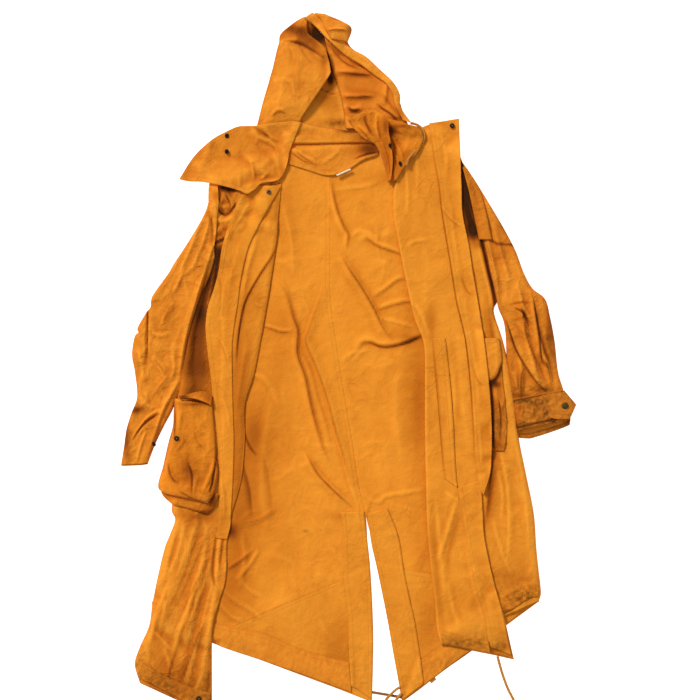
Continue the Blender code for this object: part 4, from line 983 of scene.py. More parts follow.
EDGE, DIM = 10.0, 15.0      # width of a sleeve's round edge, and of the painted shade along it
LEFT_SLEEVE = [  # outer edge, inner edge and top
    (-272, 360, -265, 212, 14), (-282, 312, -273, 186, 15), (-310, 260, -286, 156, 16),
    (-345, 206, -298, 126, 16), (-358, 184, -304, 106, 16), (-389, 140, -310, 86, 16),
    (-393, 118, -312, 66, 16), (-402, 106, -315, 52, 16), (-419, 76, -319, 34, 16),
    (-417, 67, -321, 24, 16), (-425, 58, -323, 14, 16), (-430, 22, -327, -8, 15),
    (-424, -14, -332, -40, 15), (-420, -62, -341, -66, 14), (-432, -96, -352, -92, 13),
    (-441, -126, -366, -118, 12), (-446, -160, -383, -153, 12), (-452, -198, -399, -194, 12)]
LEFT_SLEEVE_FOLDS = [
    (5.5, 7, 13, -262, 262, -279, 205, -294, 160, -305, 120, -322, 60, -331, 10, -337, -26),
    (4.6, 6, 12, -332, -20, -350, -54, -368, -88, -386, -140, -402, -190),
    (4.0, 14, 6, -341, -4, -365, -28, -390, -60),
    (3.5, 12, 8, -390, 20, -372, -4, -364, -24),
    (-4.5, 5, 5, -396, 122, -400, 62, -401, 0),
    (2.6, 9, 5, -392, 70, -374, 60, -350, 66),
    (5.0, 12, 5, -371, -84, -397, -101, -413, -120, -430, -146),
    (-4.0, 6, 7, -374, -94, -399, -110, -417, -130, -428, -150),
    (3.2, 6, 8, -400, -126, -412, -158, -421, -192),
    (3.4, 9, 7, -346, 130, -358, 108, -372, 84),
    (3.4, 10, 9, -286, 310, -312, 236, -340, 176),
    (3.0, 8, 8, -274, 296, -290, 240, -312, 190),
    (3.0, 8, 9, -324, 200, -340, 160, -352, 140),
    (2.4, 8, 8, -420, 40, -410, 10, -408, -30),
    (3.0, 7, 7, -412, -60, -402, -78, -388, -84),
    (-3.0, 7, 5, -424, -70, -414, -84, -404, -90),
    (2.6, 8, 8, -350, 40, -346, 0, -352, -30)]
RIGHT_SLEEVE = [
    (224, 414.5, 274, 247, 14), (252, 374, 279, 222, 15), (284, 322, 286, 186, 16),
    (311, 276, 294, 152, 16), (335, 230, 302, 114, 16), (352, 185, 311, 92, 16), (369, 155, 315, 70, 16),
    (394, 134, 317, 42, 16), (404, 98, 318, 12, 16), (413, 50, 321, -24, 15), (420, -12, 329, -60, 15),
    (431, -50, 332, -72, 14), (439, -104, 340, -126, 13)]
RIGHT_SLEEVE_FOLDS = [
    (5.5, 24, 4, 312, 96, 324, 63, 345, 20, 370, -23, 384, -42),
    (5.0, 8, 15, 338, 170, 350, 112, 356, 63, 368, 17, 376, -10, 388, -46),
    (5.0, 10, 14, 368, 156, 374, 96, 387, 34, 400, 0, 405, -50),
    (4.0, 9, 7, 340, 30, 346, -6, 347, -34, 343, -72),
    (3.4, 9, 9, 262, 330, 280, 250, 296, 180, 304, 120),
    (3.6, 9, 10, 288, 290, 308, 220, 326, 160),
    (3.0, 8, 8, 276, 230, 292, 160, 304, 96),
    (4.0, 9, 7, 344, 122, 356, 108, 366, 84),
    (-3.5, 7, 6, 350, 108, 358, 94, 364, 78),
    (3.4, 8, 6, 336, 90, 352, 70, 372, 62),
    (3.0, 8, 8, 392, 80, 398, 40, 412, 0),
    (2.6, 7, 7, 330, -10, 338, -40, 340, -70)]


def sleeve(name, rows, finish, node, rise, low=WALL / 2, pitch=3.0, lip=0.0, sewn=(), **facts):
    """Flattened tube: two layers that meet in round edges, the lower one flat on the floor and
    longer at the cuff by the lip. Points crowd towards the edges as on a cosine."""
    table = np.array(rows, float)
    down = stations(table[:, :4], pitch)
    places = smooth(table, down)
    outer, inner, top = places[:, :2], places[:, 2:4], places[:, 4:5]
    count = int(np.hypot(*(inner - outer).T).max() / pitch) + 8
    upper = (1 - np.cos(np.linspace(0, math.pi, count))) / 2 * 0.6 + 0.4 * np.linspace(0, 1, count)
    lower = upper[::-2] if count % 2 else np.append(upper[::-2], 0.0)
    share = np.append(upper, lower[1:])[None, :]
    x = outer[:, :1] * (1 - share) + inner[:, :1] * share
    y = outer[:, 1:] * (1 - share) + inner[:, 1:] * share
    across = np.hypot(*(inner - outer).T)[:, None]
    below = np.arange(share.size)[None, :] >= count
    hang = np.sin(np.pi * share) ** 0.08 * np.interp(share, [0, 0.76, 1], [0.72, 1.16, 0.95])
    y = y - lip * below * hang * np.linspace(0, 1, len(down))[:, None] ** 8
    beside = np.minimum(share, 1 - share) * across
    roll = rounded(np.clip(beside / EDGE, 0, 1))
    half = (top - low) / 2
    lift = np.zeros(x.shape)
    lift[:, :count] = rise(x[:, :count], y[:, :count]) * roll[:, :count]
    z = low + half + np.where(below, -half * roll, half * roll) + lift
    z = np.maximum(z, low)
    heap_up(x[:, :count], y[:, :count], z[:, :count])
    # painted shade along both round edges, darkest at the turn
    rim = 0.34 * (1 - np.clip(beside / DIM, 0, 1)) ** 1.5
    return cloth(name, x, y, z, finish, node, sewn, around=True, rim=rim, **facts)


# painted shade along the sleeves' creases and folds, and in patches where they sink
sleeve("sleeve_left_body", LEFT_SLEEVE, canvas_sleeve, "sleeve_left",
       lambda x, y: 1.3 * folds(x, y, LEFT_SLEEVE_FOLDS) + crumple(x, y, 81, 26, 4.6, 2.0, 68)
       + crumple(x, y, 82, 13, 1.2, 1.4, 60),
       lip=3.0, pitch=2.75, grime=[(-440, -150, 10, 50, 0.3), (-414, -92, 16, 12, 0.35)],
       shade=[(0.8, 3, 4, -400, 122, -398, 65, -400, 0),
              (0.5, 5, 8, -282, 314, -272, 290, -270, 262, -271, 236),
              (0.8, 4, 5, -372, -92, -399, -108, -417, -128, -430, -150), (-420, -88, 12, 8, 0.7),
              (0.5, 4, 7, -343, 0, -365, -30, -392, -64), (0.4, 5, 5, -388, 17, -371, -4, -364, -22),
              (0.5, 4, 7, -274, 208, -290, 150, -302, 100, -318, 50, -330, 0), (-440, -150, 9, 40, 0.4),
              (-350, 90, 50, 60, 0.15), (-380, -150, 16, 40, 0.25), (0.4, 4, 6, -350, 126, -368, 88)])
sleeve("sleeve_right_body", RIGHT_SLEEVE, canvas_sleeve, "sleeve_right",
       lambda x, y: 1.5 * folds(x, y, RIGHT_SLEEVE_FOLDS) + crumple(x, y, 83, 24, 4.2, 2.2, 105)
       + crumple(x, y, 84, 13, 1.2, 1.4, 120),
       low=WALL / 2 + 1.6, lip=12.0, pitch=2.75,
       grime=[(400, 40, 12, 34, 0.35), (340, -50, 14, 24, 0.3), (384, -46, 44, 7, 0.4),
              (345, 80, 30, 40, 0.12), (380, -10, 30, 30, 0.15)],
       shade=[(1.0, 2.5, 5, 312, 100, 320, 80, 336, 34, 361, -9, 383, -38, 404, -54),
              (0.6, 7, 4, 351, 108, 354, 70, 365, 34, 383, -2, 398, -40),
              (0.9, 2.5, 7, 366, 160, 375, 109, 382, 62, 388, 14, 399, 1, 406, -40), (400, 90, 12, 46, 0.3),
              (406, 40, 12, 40, 0.2), (0.7, 4, 5, 320, 122, 345, 127, 368, 127),
              (0.8, 4, 4, 331, 118, 350, 106, 349, 92), (396, 56, 12, 9, 0.15), (404, 22, 14, 8, 0.2),
              (345, 90, 24, 34, 0.22), (299, 262, 30, 30, 0.1), (0.5, 4, 3, 347, -6, 345, -56),
              (350, -58, 30, 6, 0.5), (392, -47, 24, 6, 0.6), (324, 0, 8, 50, 0.2), (310, 280, 26, 30, 0.2),
              (0.55, 8, 4, 372, 130, 378, 90, 390, 34, 403, 0, 408, -46), (398, 60, 10, 30, 0.15),
              (344, -34, 7, 36, 0.3), (0.5, 6, 6, 344, 124, 352, 104, 364, 80), (330, -10, 8, 60, 0.12),
              (0.6, 4, 7, 262, 252, 288, 250, 300, 244, 322, 243, 344, 240), (306, 224, 50, 20, 0.22),
              (0.6, 5, 5, 262, 240, 276, 180, 292, 116), (300, 180, 12, 60, 0.15)])
# painted shade along the band's two seams and in its puckers
sleeve("cuff_band", [
    (433, -49, 331, -68, 17), (440, -80, 336, -100, 17), (445, -106, 340, -128, 16)],
    canvas_cuff, "cuff_band_right",
    lambda x, y: crumple(x, y, 85, 14, 3.4, 1.5, 80) + crumple(x, y, 89, 7, 1.6), low=WALL / 2, pitch=1.6,
    lip=20.0, sewn=["top", "bottom"], slot="canvas_worn",
    grime=[(356, -70, 40, 6, 0.7), (350, -118, 30, 7, 0.6), (396, -86, 8, 26, 0.5),
           (372, -80, 12, 14, 0.45), (400, -112, 40, 8, 0.4)],
    shade=[(1.9, 5, 5, 300, -74, 350, -64, 395, -55, 470, -40),
           (1.4, 4, 4, 300, -134, 350, -120, 408, -107, 490, -94), (411, -111, 6, 7, 1.0),
           (0.6, 3, 5, 376, -62, 372, -86, 378, -110), (0.5, 4, 3, 352, -72, 350, -96),
           (0.5, 3, 4, 398, -64, 396, -84, 402, -104), (344, -84, 6, 10, 0.4)])
panel("cuff_tab", [
    (386, -59, 402, -102), (410, -54, 420, -106), (432.5, -50.6, 442, -104.8), (434.5, -51.5, 444, -103.5),
    (454.5, -74.5, 455.5, -79), (456, -76, 456, -78)],
    lambda x, y: 0.8 + crumple(x, y, 86, 12, 1.6), canvas_cuff, "cuff_tab_right", slot="canvas_worn",
    sewn=["left", "right"], held="folded", pitch=1.5,
    grime=[(396, -82, 6, 26, 0.5), (432, -58, 16, 6, 0.3)])

# ---------------------------------------------------------------- shoulder straps
# A narrow strap is stitched over the top of each sleeve, beside the armhole. The left one
# comes out from under the collar and tapers into the armhole; the right one lies flat.

panel("strap_left", [
    (-275, 366, -259, 365), (-277, 348, -257, 345), (-276.5, 322, -256.5, 320), (-270, 297, -260, 292),
    (-267, 270, -261.5, 267), (-269, 239, -265.5, 239)],
    lambda x, y: 0.5 + crumple(x, y, 87, 12, 1.6, 1.8, 90),
    canvas_sleeve, "shoulder_strap_left", pitch=2.0, shade=[(-262, 338, 8, 12, 0.4)])
panel("strap_right", [
    (229, 396, 238, 394), (241, 352, 264, 352), (251, 306, 276, 306), (262, 252, 287, 252)],
    lambda x, y: 0.1 + folds(x, y, [(2.0, 14, 3, 243, 384, 259, 340, 271, 300, 281, 256)])
    + crumple(x, y, 88, 14, 1.4, 2.0, 100),
    canvas_sleeve, "shoulder_strap_right", pitch=2.5, rim=0.3, grime=[(256, 310, 14, 60, 0.15)])

# ================================================================ hood
# Back, two sides, a drawcord channel round the face and a crown. It lies on its back: the
# left side arches over the hollow to a free corner, the right side is sunk in two folds.

# a darker, redder copy of the canvas for the hood's right side, which lies in shade: painted shade
canvas_shadow = dyed_canvas(
    "garment-dyed canvas, hood side in painted shadow", "#ec8c28", "#d07218", worn=0.02, creased=1.8)

HOOD_BACK_FOLDS = [
    (2.4, 10, 8, -58, 553, -40, 545, -16, 539),
    (2.0, 8, 10, -28, 575, -14, 530, -3, 490)]
HOOD_RIGHT_FOLDS = [
    (4.5, 22, 9, -30, 586, 15, 587, 45, 581),
    (3.8, 12, 8, -14, 541, 20, 538, 56, 540),
    (3.4, 5, 22, 80, 570, 74, 520),
    (-4.0, 16, 7, -34, 644, -14, 622, 12, 604, 46, 590, 70, 566),
    (3.0, 8, 8, -12, 520, 8, 514, 30, 516),
    (2.6, 6, 6, -4, 508, 14, 500, 30, 506)]
HOOD_LEFT_FOLDS = [
    (2.6, 9, 6, -95, 652, -96, 603, -104, 566, -99, 520),
    (2.0, 7, 7, -113, 575, -107, 556, -104, 540),
    (3.4, 8, 12, -138, 647, -118, 650, -96, 648),
    (-3.0, 14, 16, -118, 676, -98, 668, -84, 656),
    (2.6, 10, 7, -76, 646, -64, 622, -44, 606),
    (2.2, 8, 8, -152, 498, -140, 512, -124, 506),
    (1.8, 8, 8, -150, 570, -132, 572, -112, 566)]


def hood_left_rise(x, y):
    """Arch of the left side, from 0 where it is sewn to its height at the free edge."""
    off = within(x, y, 72, "left", "top", "bottom")
    top = np.clip((y - 632) / 20, 0, 1) * crumple(x, y, 96, 15, 3.4, 1.5, 30)
    small = crumple(x, y, 92, 30, 3.0, 1.8, 75) + top
    return 16 * (1 - (1 - off) ** 2) + folds(x, y, HOOD_LEFT_FOLDS) + small


def hood_right_rise(x, y):
    """The right side, low where it is sewn to the back, with the two folds across it."""
    arch = rounded(within(x, y, 40, "left", "bottom"))
    return 8 * arch + 1.5 * folds(x, y, HOOD_RIGHT_FOLDS) + crumple(x, y, 93, 26, 2.2)


# painted shadow deep in the hood under the left side's arch, and painted shade at the neck
panel("hood_back_panel", [
    (-176, 458, 118, 458), (-167, 526, 106, 524), (-153, 576, 80, 572), (-139, 624, 42, 612),
    (-129, 656, 6, 638), (-111, 676, -6, 666), (-89, 691, -30, 690), (-80, 697, -50, 701)],
    lambda x, y: 0.4 + folds(x, y, HOOD_BACK_FOLDS) + crumple(x, y, 91, 36, 2.0),
    canvas_facing, "hood_back", pitch=4.0,
    grime=[(-22, 486, 24, 9, 0.6)],
    shade=[(-58, 664, 26, 24, 1.3), (-36, 602, 9, 34, 1.3), (-33, 572, 6, 9, 0.8), (-22, 486, 22, 6, 0.5),
           (-40, 536, 24, 20, 0.32), (0.4, 4, 5, -60, 556, -40, 548, -16, 541)])
# painted shade: the hood's right side is darker along its two folds and at its lower edge
panel("hood_right_side", [
    (-3, 474, 124, 474), (-12, 534, 101, 530), (-28, 584, 76, 566), (-37, 620, 38, 610),
    (-47, 662, -12, 640)],
    hood_right_rise, canvas_shadow, "hood_right", held="draped", pitch=2.5,
    shade=[(0.5, 6, 8, 66, 546, 84, 524, 104, 500, 124, 478), (0.5, 2.5, 12, -25, 588, 14, 583, 58, 580),
           (0.5, 2.5, 10, -15, 539, 9, 537, 53, 538), (0.7, 8, 5, -4, 520, 10, 510, 28, 512),
           (0.6, 7, 7, -44, 652, -22, 622, 0, 602, 30, 590), (14, 506, 20, 5, 0.6), (20, 566, 56, 40, 0.16),
           (34, 544, 28, 10, 0.3), (30, 586, 26, 8, 0.2), (0.95, 4, 6, 58, 524, 70, 514, 84, 505, 100, 492),
           (38, 500, 16, 10, 0.4), (96, 492, 18, 6, 0.6)])
# painted shade on its top, where it sinks into the hood, and along its creases
panel("hood_left_side", [
    (-183, 472, -101, 476), (-176, 500, -92, 495), (-169, 528, -68, 531), (-159, 562, -43, 568),
    (-154, 580, -34, 583), (-151, 590, -34, 589), (-147, 606, -37, 607), (-141, 632, -45, 632),
    (-137, 646, -58, 646), (-134, 663, -77, 662), (-113, 682, -82, 680), (-95, 694, -80, 693),
    (-86, 698, -78, 698)],
    hood_left_rise, canvas_outside, "hood_left", sewn=["left", "right"], held="draped", pitch=2.5,
    shade=[(-112, 672, 30, 15, 0.62), (-82, 662, 22, 18, 0.5), (-66, 640, 20, 16, 0.45),
           (-96, 645, 16, 10, 0.28), (-46, 614, 11, 18, 0.4),
           (0.5, 8, 5, -134, 652, -116, 648, -92, 641, -66, 626, -44, 610), (-145, 502, 22, 16, 0.12),
           (-125, 572, 24, 60, 0.06), (0.3, 4, 4, -98, 640, -84, 618, -70, 600),
           (0.3, 4, 4, -120, 640, -112, 620, -112, 604),
           (0.35, 4, 5, -95, 650, -97, 603, -105, 566, -100, 520),
           (0.5, 5, 5, -152, 496, -138, 508, -122, 504), (-176, 486, 10, 12, 0.3)])


def brim_rise(x, y):
    """Channel with the drawcord in it: a round roll from edge to edge."""
    return 5.5 * rounded(within(x, y, 7, "left", "right")) + rumple(x, y, 94, 12, 0.8, grain=130)


panel("hood_channel", [
    (-86, 694, -70, 706), (-64, 677, -47, 692), (-45, 656, -32, 668), (-27, 638, -14, 652),
    (0, 616, 8, 633), (27, 600, 37, 617), (50, 582, 62, 594), (77, 562, 91, 566), (90, 541, 104, 542),
    (94, 521, 106, 516), (110, 490, 127, 485)],
    brim_rise, canvas_outside, "hood_brim", held="folded", pitch=2.0,
    shade=[(104, 505, 10, 24, 0.35), (-76, 690, 8, 8, 0.15)])
panel("hood_crown_piece", [
    (-66, 704, -46, 703), (-52, 690, -10, 687), (-44, 670, 8, 673), (-32, 650, 0, 645)],
    lambda x, y: 6 * within(x, y, 20, "left", "right", "top", "bottom") ** 0.6
    + folds(x, y, [(3.4, 9, 5, -42, 666, -22, 669, 2, 668), (3.0, 5, 8, -44, 698, -28, 691, -12, 686)])
    + rumple(x, y, 95, 14, 1.2),
    canvas_outside, "hood_crown", held="draped", pitch=2.0, grime=[(5, 670, 6, 7, 0.9)],
    shade=[(0.6, 4, 4, -44, 697, -28, 692, -12, 687), (0.7, 3, 5, -42, 667, -22, 669, 0, 668),
           (-40, 660, 8, 16, 0.3)])

# ================================================================ neck and collar
# A facing closes the neck inside; the stand goes up from it to the hood. The left wing of
# the storm collar falls outwards, and the right one is crumpled into a chin flap of two
# leaves. A cotton tape to hang the coat by is caught under the facing.

NECK_FOLDS = [
    (2.4, 6, 8, -128, 442, -92, 424, -56, 404),
    (2.4, 8, 6, -52, 404, -28, 420, -14, 434),
    (2.4, 12, 5, 18, 408, 36, 416, 60, 421)]

# painted shadow under the chin flap, and painted shade along the neck's creases
panel("neck_facing_piece", [
    (-119, 450, -119, 404), (-85, 449, -87, 394), (-49, 448, -49, 382), (-25, 448, -23, 382),
    (5, 448, 5, 394), (33, 450, 29, 410), (65, 452, 61, 422)],
    lambda x, y: 1.0 + 1.6 * (1 - within(x, y, 12, "right")) ** 2 + folds(x, y, NECK_FOLDS)
    + rumple(x, y, 101, 20, 0.7),
    canvas_outside, "neck_facing", sewn=["right"], held="folded", pitch=2.5,
    shade=[(46, 434, 34, 16, 0.8), (0.6, 5, 3, 10, 412, 34, 421, 62, 428), (-118, 420, 8, 20, 0.4),
           (0.6, 3, 4, -116, 430, -92, 412, -64, 400), (0.5, 3, 4, -58, 398, -84, 414, -104, 430)])
# painted shadow where the stand sinks between the hood and the chin flap
panel("collar_stand_piece", [
    (-97, 486, -115, 444), (-55, 478, -69, 444), (-15, 472, -29, 445), (29, 464, 13, 446),
    (65, 458, 57, 446)],
    lambda x, y: 5 * rounded(within(x, y, 14, "left", "right")) + crumple(x, y, 102, 14, 1.6, 1.8, 170),
    canvas_outside, "collar_stand", sewn=["right"], pitch=2.5, grime=[(8, 474, 26, 6, 0.5)],
    shade=[(6, 470, 24, 7, 0.9), (34, 456, 18, 8, 0.6), (20, 446, 40, 5, 0.3)])

# the tape has the canvas's weave, undyed
cotton_tape = dyed_canvas("undyed cotton tape", "#f6e8cf", "#dfc6a2")
panel("hanger_loop", [(-22.5, 381.5, -21, 378.6), (-8, 388, -6.8, 385.1), (6, 394, 6.8, 391.1)],
      lambda x, y: 5.3 * np.sin(np.pi * within(x, y, 3.2, "right")), cotton_tape, "hanger_tape",
      slot="tape", held="folded", pitch=0.5)

WING_FOLDS = [
    (-3.5, 10, 10, -186, 480, -170, 466, -154, 455),
    (2.6, 5, 8, -166, 479, -158, 466, -149, 454),
    (1.8, 5, 7, -186, 462, -164, 453, -146, 442, -139, 416),
    (2.6, 7, 8, -192, 414, -188, 392, -185, 370),
    (2.4, 6, 6, -174, 374, -166, 378, -157, 388),
    (2.0, 14, 14, -272, 462, -284, 420, -300, 384),
    (1.2, 8, 10, -146, 430, -138, 400, -134, 376)]


def wing_rise(x, y):
    """A stiff doubled collar: free along its lower edge, which stands up a little, and rolled
    over at the neck."""
    lift = 2.4 * (1 - within(x, y, 22, "right")) ** 2
    uneven = drift(x, y, 80, 9) + crumple(x, y, 103, 44, 1.8)
    return 2.0 + lift + 1.1 * folds(x, y, WING_FOLDS) + uneven


# painted shade along the wing's creases and over its outer end
panel("collar_wing", [
    (-336, 374, -333, 372), (-317, 405, -314, 368.5), (-298, 429, -288, 366.6), (-269, 454, -250, 359),
    (-248, 466, -234, 355), (-221, 478.5, -214, 349), (-202, 480, -200, 343), (-183, 480, -187, 350),
    (-164, 483, -171, 364), (-131, 486, -137, 372), (-110, 488, -122, 398), (-92, 486, -117, 430)],
    wing_rise, canvas_outside, "collar_wing_left", sewn=["left", "right"], held="folded", pitch=2.8,
    grime=[(-268, 424, 7, 24, 0.22), (-282, 396, 8, 14, 0.18)],
    shade=[(0.5, 5, 7, -190, 480, -172, 468, -156, 456),
           (0.4, 3, 5, -184, 456, -164, 446, -146, 436, -141, 416), (-316, 396, 24, 26, 0.2),
           (-240, 420, 90, 60, 0.07), (0.4, 4, 3, -172, 470, -150, 452, -132, 446),
           (0.4, 5, 4, -190, 410, -186, 392, -183, 368), (0.5, 4, 5, -176, 370, -166, 374, -155, 386),
           (-130, 390, 6, 40, 0.12)])

CHIN_UNDER_FOLDS = [
    (3.5, 5, 10, 80, 470, 92, 452, 104, 430, 114, 404),
    (-3.0, 8, 8, 88, 476, 94, 466, 108, 462),
    (2.6, 6, 6, 86, 420, 94, 396, 92, 374)]
CHIN_UPPER_FOLDS = [
    (3.0, 14, 4, 34, 506, 38, 484, 52, 460),
    (2.6, 4, 10, 60, 504, 58, 476, 64, 448),
    (2.6, 9, 3, 20, 480, 34, 466, 46, 452),
    (3.0, 3, 8, 66, 452, 76, 424, 82, 400, 82, 376)]
# painted shade under and between the chin flap's leaves, and along their folds
panel("chin_leaf_under", [
    (64, 500, 128, 478), (66, 484, 144, 474), (70, 464, 151, 454), (74, 436, 138, 424), (80, 404, 117, 403),
    (81, 366, 97, 371)],
    lambda x, y: 5 * within(x, y, 24, "left", "top") ** 0.6 + 1.5 + 1.4 * folds(x, y, CHIN_UNDER_FOLDS)
    + crumple(x, y, 104, 16, 2.0, 1.6, 60),
    canvas_pocket, "chin_flap_under", sewn=["right"], held="folded", pitch=2.0,
    shade=[(86, 468, 14, 13, 0.95), (112, 478, 20, 7, 0.5), (0.8, 5, 5, 90, 436, 91, 410, 88, 384, 84, 366),
           (118, 420, 10, 12, 0.3), (104, 396, 14, 22, 0.34), (96, 440, 8, 20, 0.3)])
panel("chin_leaf_upper", [
    (0.5, 491, 38, 511), (10, 478, 62, 507), (19, 466, 80, 488), (35, 452, 82, 466), (56, 441, 86, 444),
    (73, 404, 90, 410), (81, 366, 87, 370)],
    lambda x, y: 9 * within(x, y, 34, "left", "bottom") ** 0.6 + 1.0 + 1.4 * folds(x, y, CHIN_UPPER_FOLDS)
    + crumple(x, y, 105, 15, 2.4, 1.6, 80),
    canvas_pocket, "chin_flap_upper", sewn=["left"], held="folded", pitch=2.0,
    shade=[(0.8, 12, 4, 33, 508, 36, 484, 50, 458), (0.5, 10, 3, 60, 500, 60, 476, 66, 448),
           (80, 408, 9, 34, 0.45), (76, 478, 9, 22, 0.6), (0.5, 3, 5, 20, 478, 34, 464, 46, 450),
           (70, 440, 10, 20, 0.25), (-0.3, 4, 4, 4, 490, 20, 500, 40, 508)])

# ================================================================ studs
# Ring studs of darkened brass, each on a seat that has gone green; the one at the placket is
# rubbed bright. The one on the cuff tab is its other half, a plain cap.

def metal(name, colour, roughness):
    """Old brass: dull, its tone uneven where fingers have rubbed it."""
    finish, tree, place = blank(name)
    wear = texture(tree, "Noise", place, 320.0, Detail=3.0)["Fac"]
    tone = mix(tree, wear, linear(colour), linear("#0d0906"))
    shader = add(tree, "ShaderNodeBsdfPrincipled", {}, Base_Color=tone, Metallic=0.75, Roughness=roughness)
    add(tree, "ShaderNodeOutputMaterial", {}, Surface=shader.outputs[0])
    return finish


stud_dark = metal("darkened brass", "#3a2413", 0.5)
stud_seat = metal("rubbed brass", "#a08a68", 0.55)
stud_cap = metal("brass cap, green with age", "#6f5a24", 0.6)
ROUND, STUD_GAP = 32, 0.3   # points round a stud, and the air under it
RING = [(1.7, 0.8), (2.0, 1.4), (2.5, 2.2), (3.2, 2.4), (3.9, 2.0), (4.3, 1.1), (4.3, 0.1)]
SOCKET = [(0.0, 1.0), (1.2, 1.0), (1.9, 0.8)]
SEAT = [(4.0, 0.5), (4.7, 0.7), (5.1, 0.5), (5.2, 0.0)]
CAP = [(0.0, 2.2), (2.5, 2.2), (5.0, 2.0), (6.2, 1.5), (6.8, 0.6), (6.8, 0.0)]


def turned(name, profile, x, y, finish, narrow=1.0, tilt=0.0):
    """Profile of radius and height turned about an upright axis, standing on the heap; a stud
    on a steep fold is seen narrower, turned by its tilt."""
    ring = np.arange(ROUND) * 2 * math.pi / ROUND
    radius, height = np.array(profile).T
    flat_x, flat_y = np.outer(radius, np.cos(ring)) * narrow, np.outer(radius, np.sin(ring))
    px = x + flat_x * math.cos(tilt) - flat_y * math.sin(tilt)
    py = y + flat_x * math.sin(tilt) + flat_y * math.cos(tilt)
    floor_z = bed(np.full((2, 2), x), np.full((2, 2), y), slope=0.3, soften=0)[0, 0] + STUD_GAP
    pz = np.repeat(floor_z + height[:, None], ROUND, axis=1)
    points = np.stack([px, py, pz], axis=-1).reshape(-1, 3) * MM
    k = np.arange(len(profile) - 1)[:, None] * ROUND + np.arange(ROUND)
    nxt = np.roll(k, -1, axis=1)
    faces = np.stack([k, k + ROUND, nxt + ROUND, nxt], axis=-1).reshape(-1, 4)
    mesh = bpy.data.meshes.new(name)
    mesh.from_pydata(points, [], faces.tolist())
    mesh.polygons.foreach_set("use_smooth", np.ones(len(faces), bool))
    mesh.materials.append(finish)
    return piece_of(name, mesh)


for stud, x, y, narrow, tilt, ring, socket, seat in (
        ("collar_upper", -241, 460, 0.85, 0.2, stud_dark, stud_dark, stud_cap),
        ("collar_lower", -241, 428, 0.85, 0.2, stud_dark, stud_dark, stud_cap),
        ("placket_left", -157, 347, 0.9, 0.3, stud_seat, stud_dark, stud_seat),
        ("front_right", 209, 480, 0.95, 0.0, stud_dark, stud_seat, stud_cap),
        ("chin_upper", 85, 438, 0.6, 0.3, stud_dark, stud_dark, stud_cap),
        ("chin_lower", 105, 403, 0.6, 0.3, stud_dark, stud_dark, stud_cap),
        ("pocket_left", -340, -144, 1.0, 0.0, stud_dark, stud_seat, stud_cap),
        ("cuff_left", -386, -155.5, 0.7, 0.5, stud_dark, stud_dark, stud_cap),
        ("hem_left", -297, -664, 1.0, 0.0, stud_dark, stud_seat, stud_cap)):
    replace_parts(turned("ring_" + stud, RING, x, y, ring, narrow, tilt), "stud_" + stud)
    turned("socket_" + stud, SOCKET, x, y, socket, narrow, tilt)
    turned("seat_" + stud, SEAT, x, y, seat, narrow, tilt)
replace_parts(turned("cap_cuff_tab", CAP, 433.5, -79, stud_cap), "stud_cuff_tab_right")

# ================================================================ drawcords
# Braided cotton cord, 5.5 mm. It comes out of the hood's channel, the hem and both sides of
# the vent; the short piece by the right tail is the tip of the one in the vent.

def braid(name, light, dark):
    """Braided cotton: crossing strands 3 mm wide round the cord, fuzzy and matt."""
    finish, tree, place = blank(name)
    strand = texture(tree, "Wave", place, 150.0, {"bands_direction": "DIAGONAL"}, Distortion=2.0,
                     Detail=1.0)["Fac"]
    tone = mix(tree, strand, linear(dark), linear(light))
    bump = add(tree, "ShaderNodeBump", {}, Strength=0.9, Distance=0.8 * MM, Height=strand)
    shader = add(tree, "ShaderNodeBsdfPrincipled", {}, Base_Color=tone, Roughness=0.95,
                 Normal=bump.outputs[0])
    add(tree, "ShaderNodeOutputMaterial", {}, Surface=shader.outputs[0])
    return finish


cord_tan = braid("braided cotton, dyed tan", "#d0913a", "#a4681e")
cord_brown = braid("braided cotton, stained", "#a06420", "#7a4814")
THICK, BENDS = 0.0055, 8    # metres across a cord, and pieces of its curve between two points


def cord(name, route, node, finish, **facts):
    """Curve with a round section through a route that is smoothed between its points. Its facts
    are not used."""
    knots = np.array(route, float)
    path = smooth(knots, np.linspace(0, len(knots) - 1, BENDS * (len(knots) - 1) + 1)) * MM
    curve = bpy.data.curves.new(name, "CURVE")
    curve.dimensions = "3D"
    spline = curve.splines.new("POLY")
    spline.points.add(len(path) - 1)
    spline.points.foreach_set("co", np.hstack([path, np.ones((len(path), 1))]).ravel())
    curve.bevel_depth = THICK / 2
    curve.bevel_resolution = 4
    curve.use_fill_caps = True
    curve.materials.append(finish)
    piece = piece_of(name, curve)
    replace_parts(piece, node)
    return piece


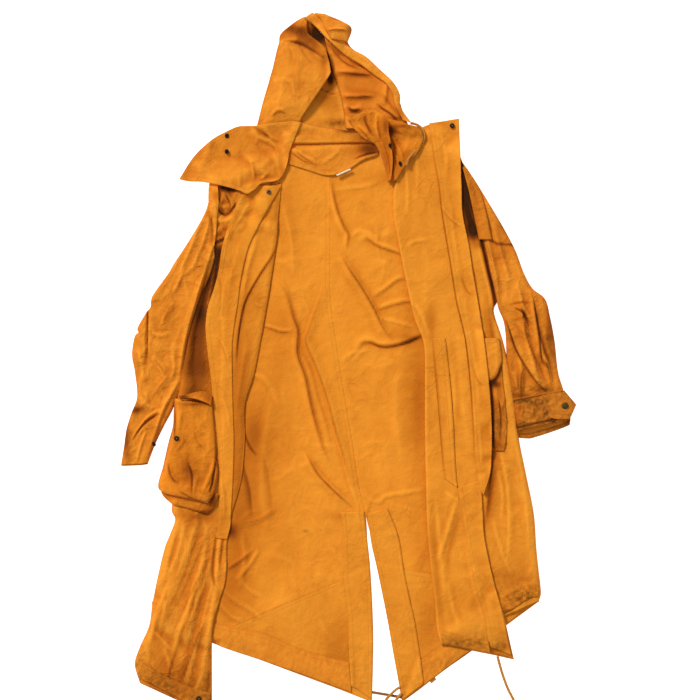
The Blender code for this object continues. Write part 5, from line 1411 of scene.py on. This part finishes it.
cord("drawcord_hood", [
    (126, 484.6, 14), (136, 482.5, 13), (146, 476.5, 12.5), (151.5, 467, 13), (153, 456, 14),
    (149, 444, 16),
    (142, 434, 18), (131, 424, 21), (121, 412, 23), (118, 400, 23)],
    "hood_cord", cord_tan, far_end="knot")
cord("drawcord_hem", [
    (299.6, -580.3, 3.1), (309, -614, 3.1), (320, -644, 3.1), (332, -668, 3.1), (341, -694, 3.1)],
    "hem_cord_right", cord_tan, far_end="bare")
cord("drawcord_loop", [
    (105.9, -641.3, 4.6), (97, -646, 7.5), (86, -656, 9.3), (77, -667, 6), (77, -679, 3.2), (86, -684, 3.1),
    (94, -675, 6), (99, -664, 9.3), (104, -657.5, 9.2), (108.4, -653.4, 7.5)],
    "vent_cord_loop", cord_tan, far_end="object")
tip = cord("drawcord_tip", [(166, -632.3, 3.1), (171, -628.4, 3.1), (176, -624.5, 3.1)], "vent_cord_tip",
           cord_tan)
cord("drawcord_vent", [
    (48.5, -652, 3.1), (62, -654, 3.1), (80, -657, 3.1), (96, -660, 3.1), (109.4, -662.4, 3.1)],
    "vent_cord", cord_brown, far_end="object", with_pieces=[tip])

# ================================================================ floor, light and camera
# A white sweep under soft studio light from the upper left, and a long lens straight above.

WIDE, DROP = 6.0, 0.0008        # half the sweep's width, and its distance under the coat
floor_mesh = bpy.data.meshes.new("floor")
floor_mesh.from_pydata([(x * WIDE, y * WIDE, -DROP) for x, y in ((-1, -1), (1, -1), (1, 1), (-1, 1))], [],
                       [(0, 1, 2, 3)])
floor = bpy.data.objects.new("floor", floor_mesh)
bpy.context.scene.collection.objects.link(floor)
paper = bpy.data.materials.new("matt white paper sweep")
paper.use_nodes = True
sweep = paper.node_tree.nodes["Principled BSDF"]
sweep.inputs["Base Color"].default_value = (0.82, 0.82, 0.82, 1)
sweep.inputs["Roughness"].default_value = 1.0
sweep.inputs["Emission Color"].default_value = (1, 1, 1, 1)
sweep.inputs["Emission Strength"].default_value = 0.95
floor_mesh.materials.append(paper)

scene = bpy.context.scene
scene.view_settings.view_transform = "Standard"
sky = bpy.data.worlds.new("studio")
scene.world = sky
sky.use_nodes = True
sky.node_tree.nodes["Background"].inputs["Color"].default_value = (1.0, 0.985, 0.97, 1)
sky.node_tree.nodes["Background"].inputs["Strength"].default_value = 0.5
lamp = bpy.data.lights.new("softbox", "SUN")
lamp.energy = 2.65
lamp.angle = math.radians(14)
lamp.color = (1.0, 0.985, 0.96)
key = bpy.data.objects.new("softbox", lamp)
key.rotation_euler = (math.radians(-34), math.radians(-36), 0)
scene.collection.objects.link(key)

lens = bpy.data.cameras.new("camera")
lens.sensor_width = 36.0
HEIGHT, FIELD = 5.0, 1.4        # camera over the floor, and the width that it sees there
lens.lens = lens.sensor_width * HEIGHT / FIELD
camera = bpy.data.objects.new("camera", lens)
camera.location = (0.005, 0.032, HEIGHT)
scene.collection.objects.link(camera)
scene.camera = camera
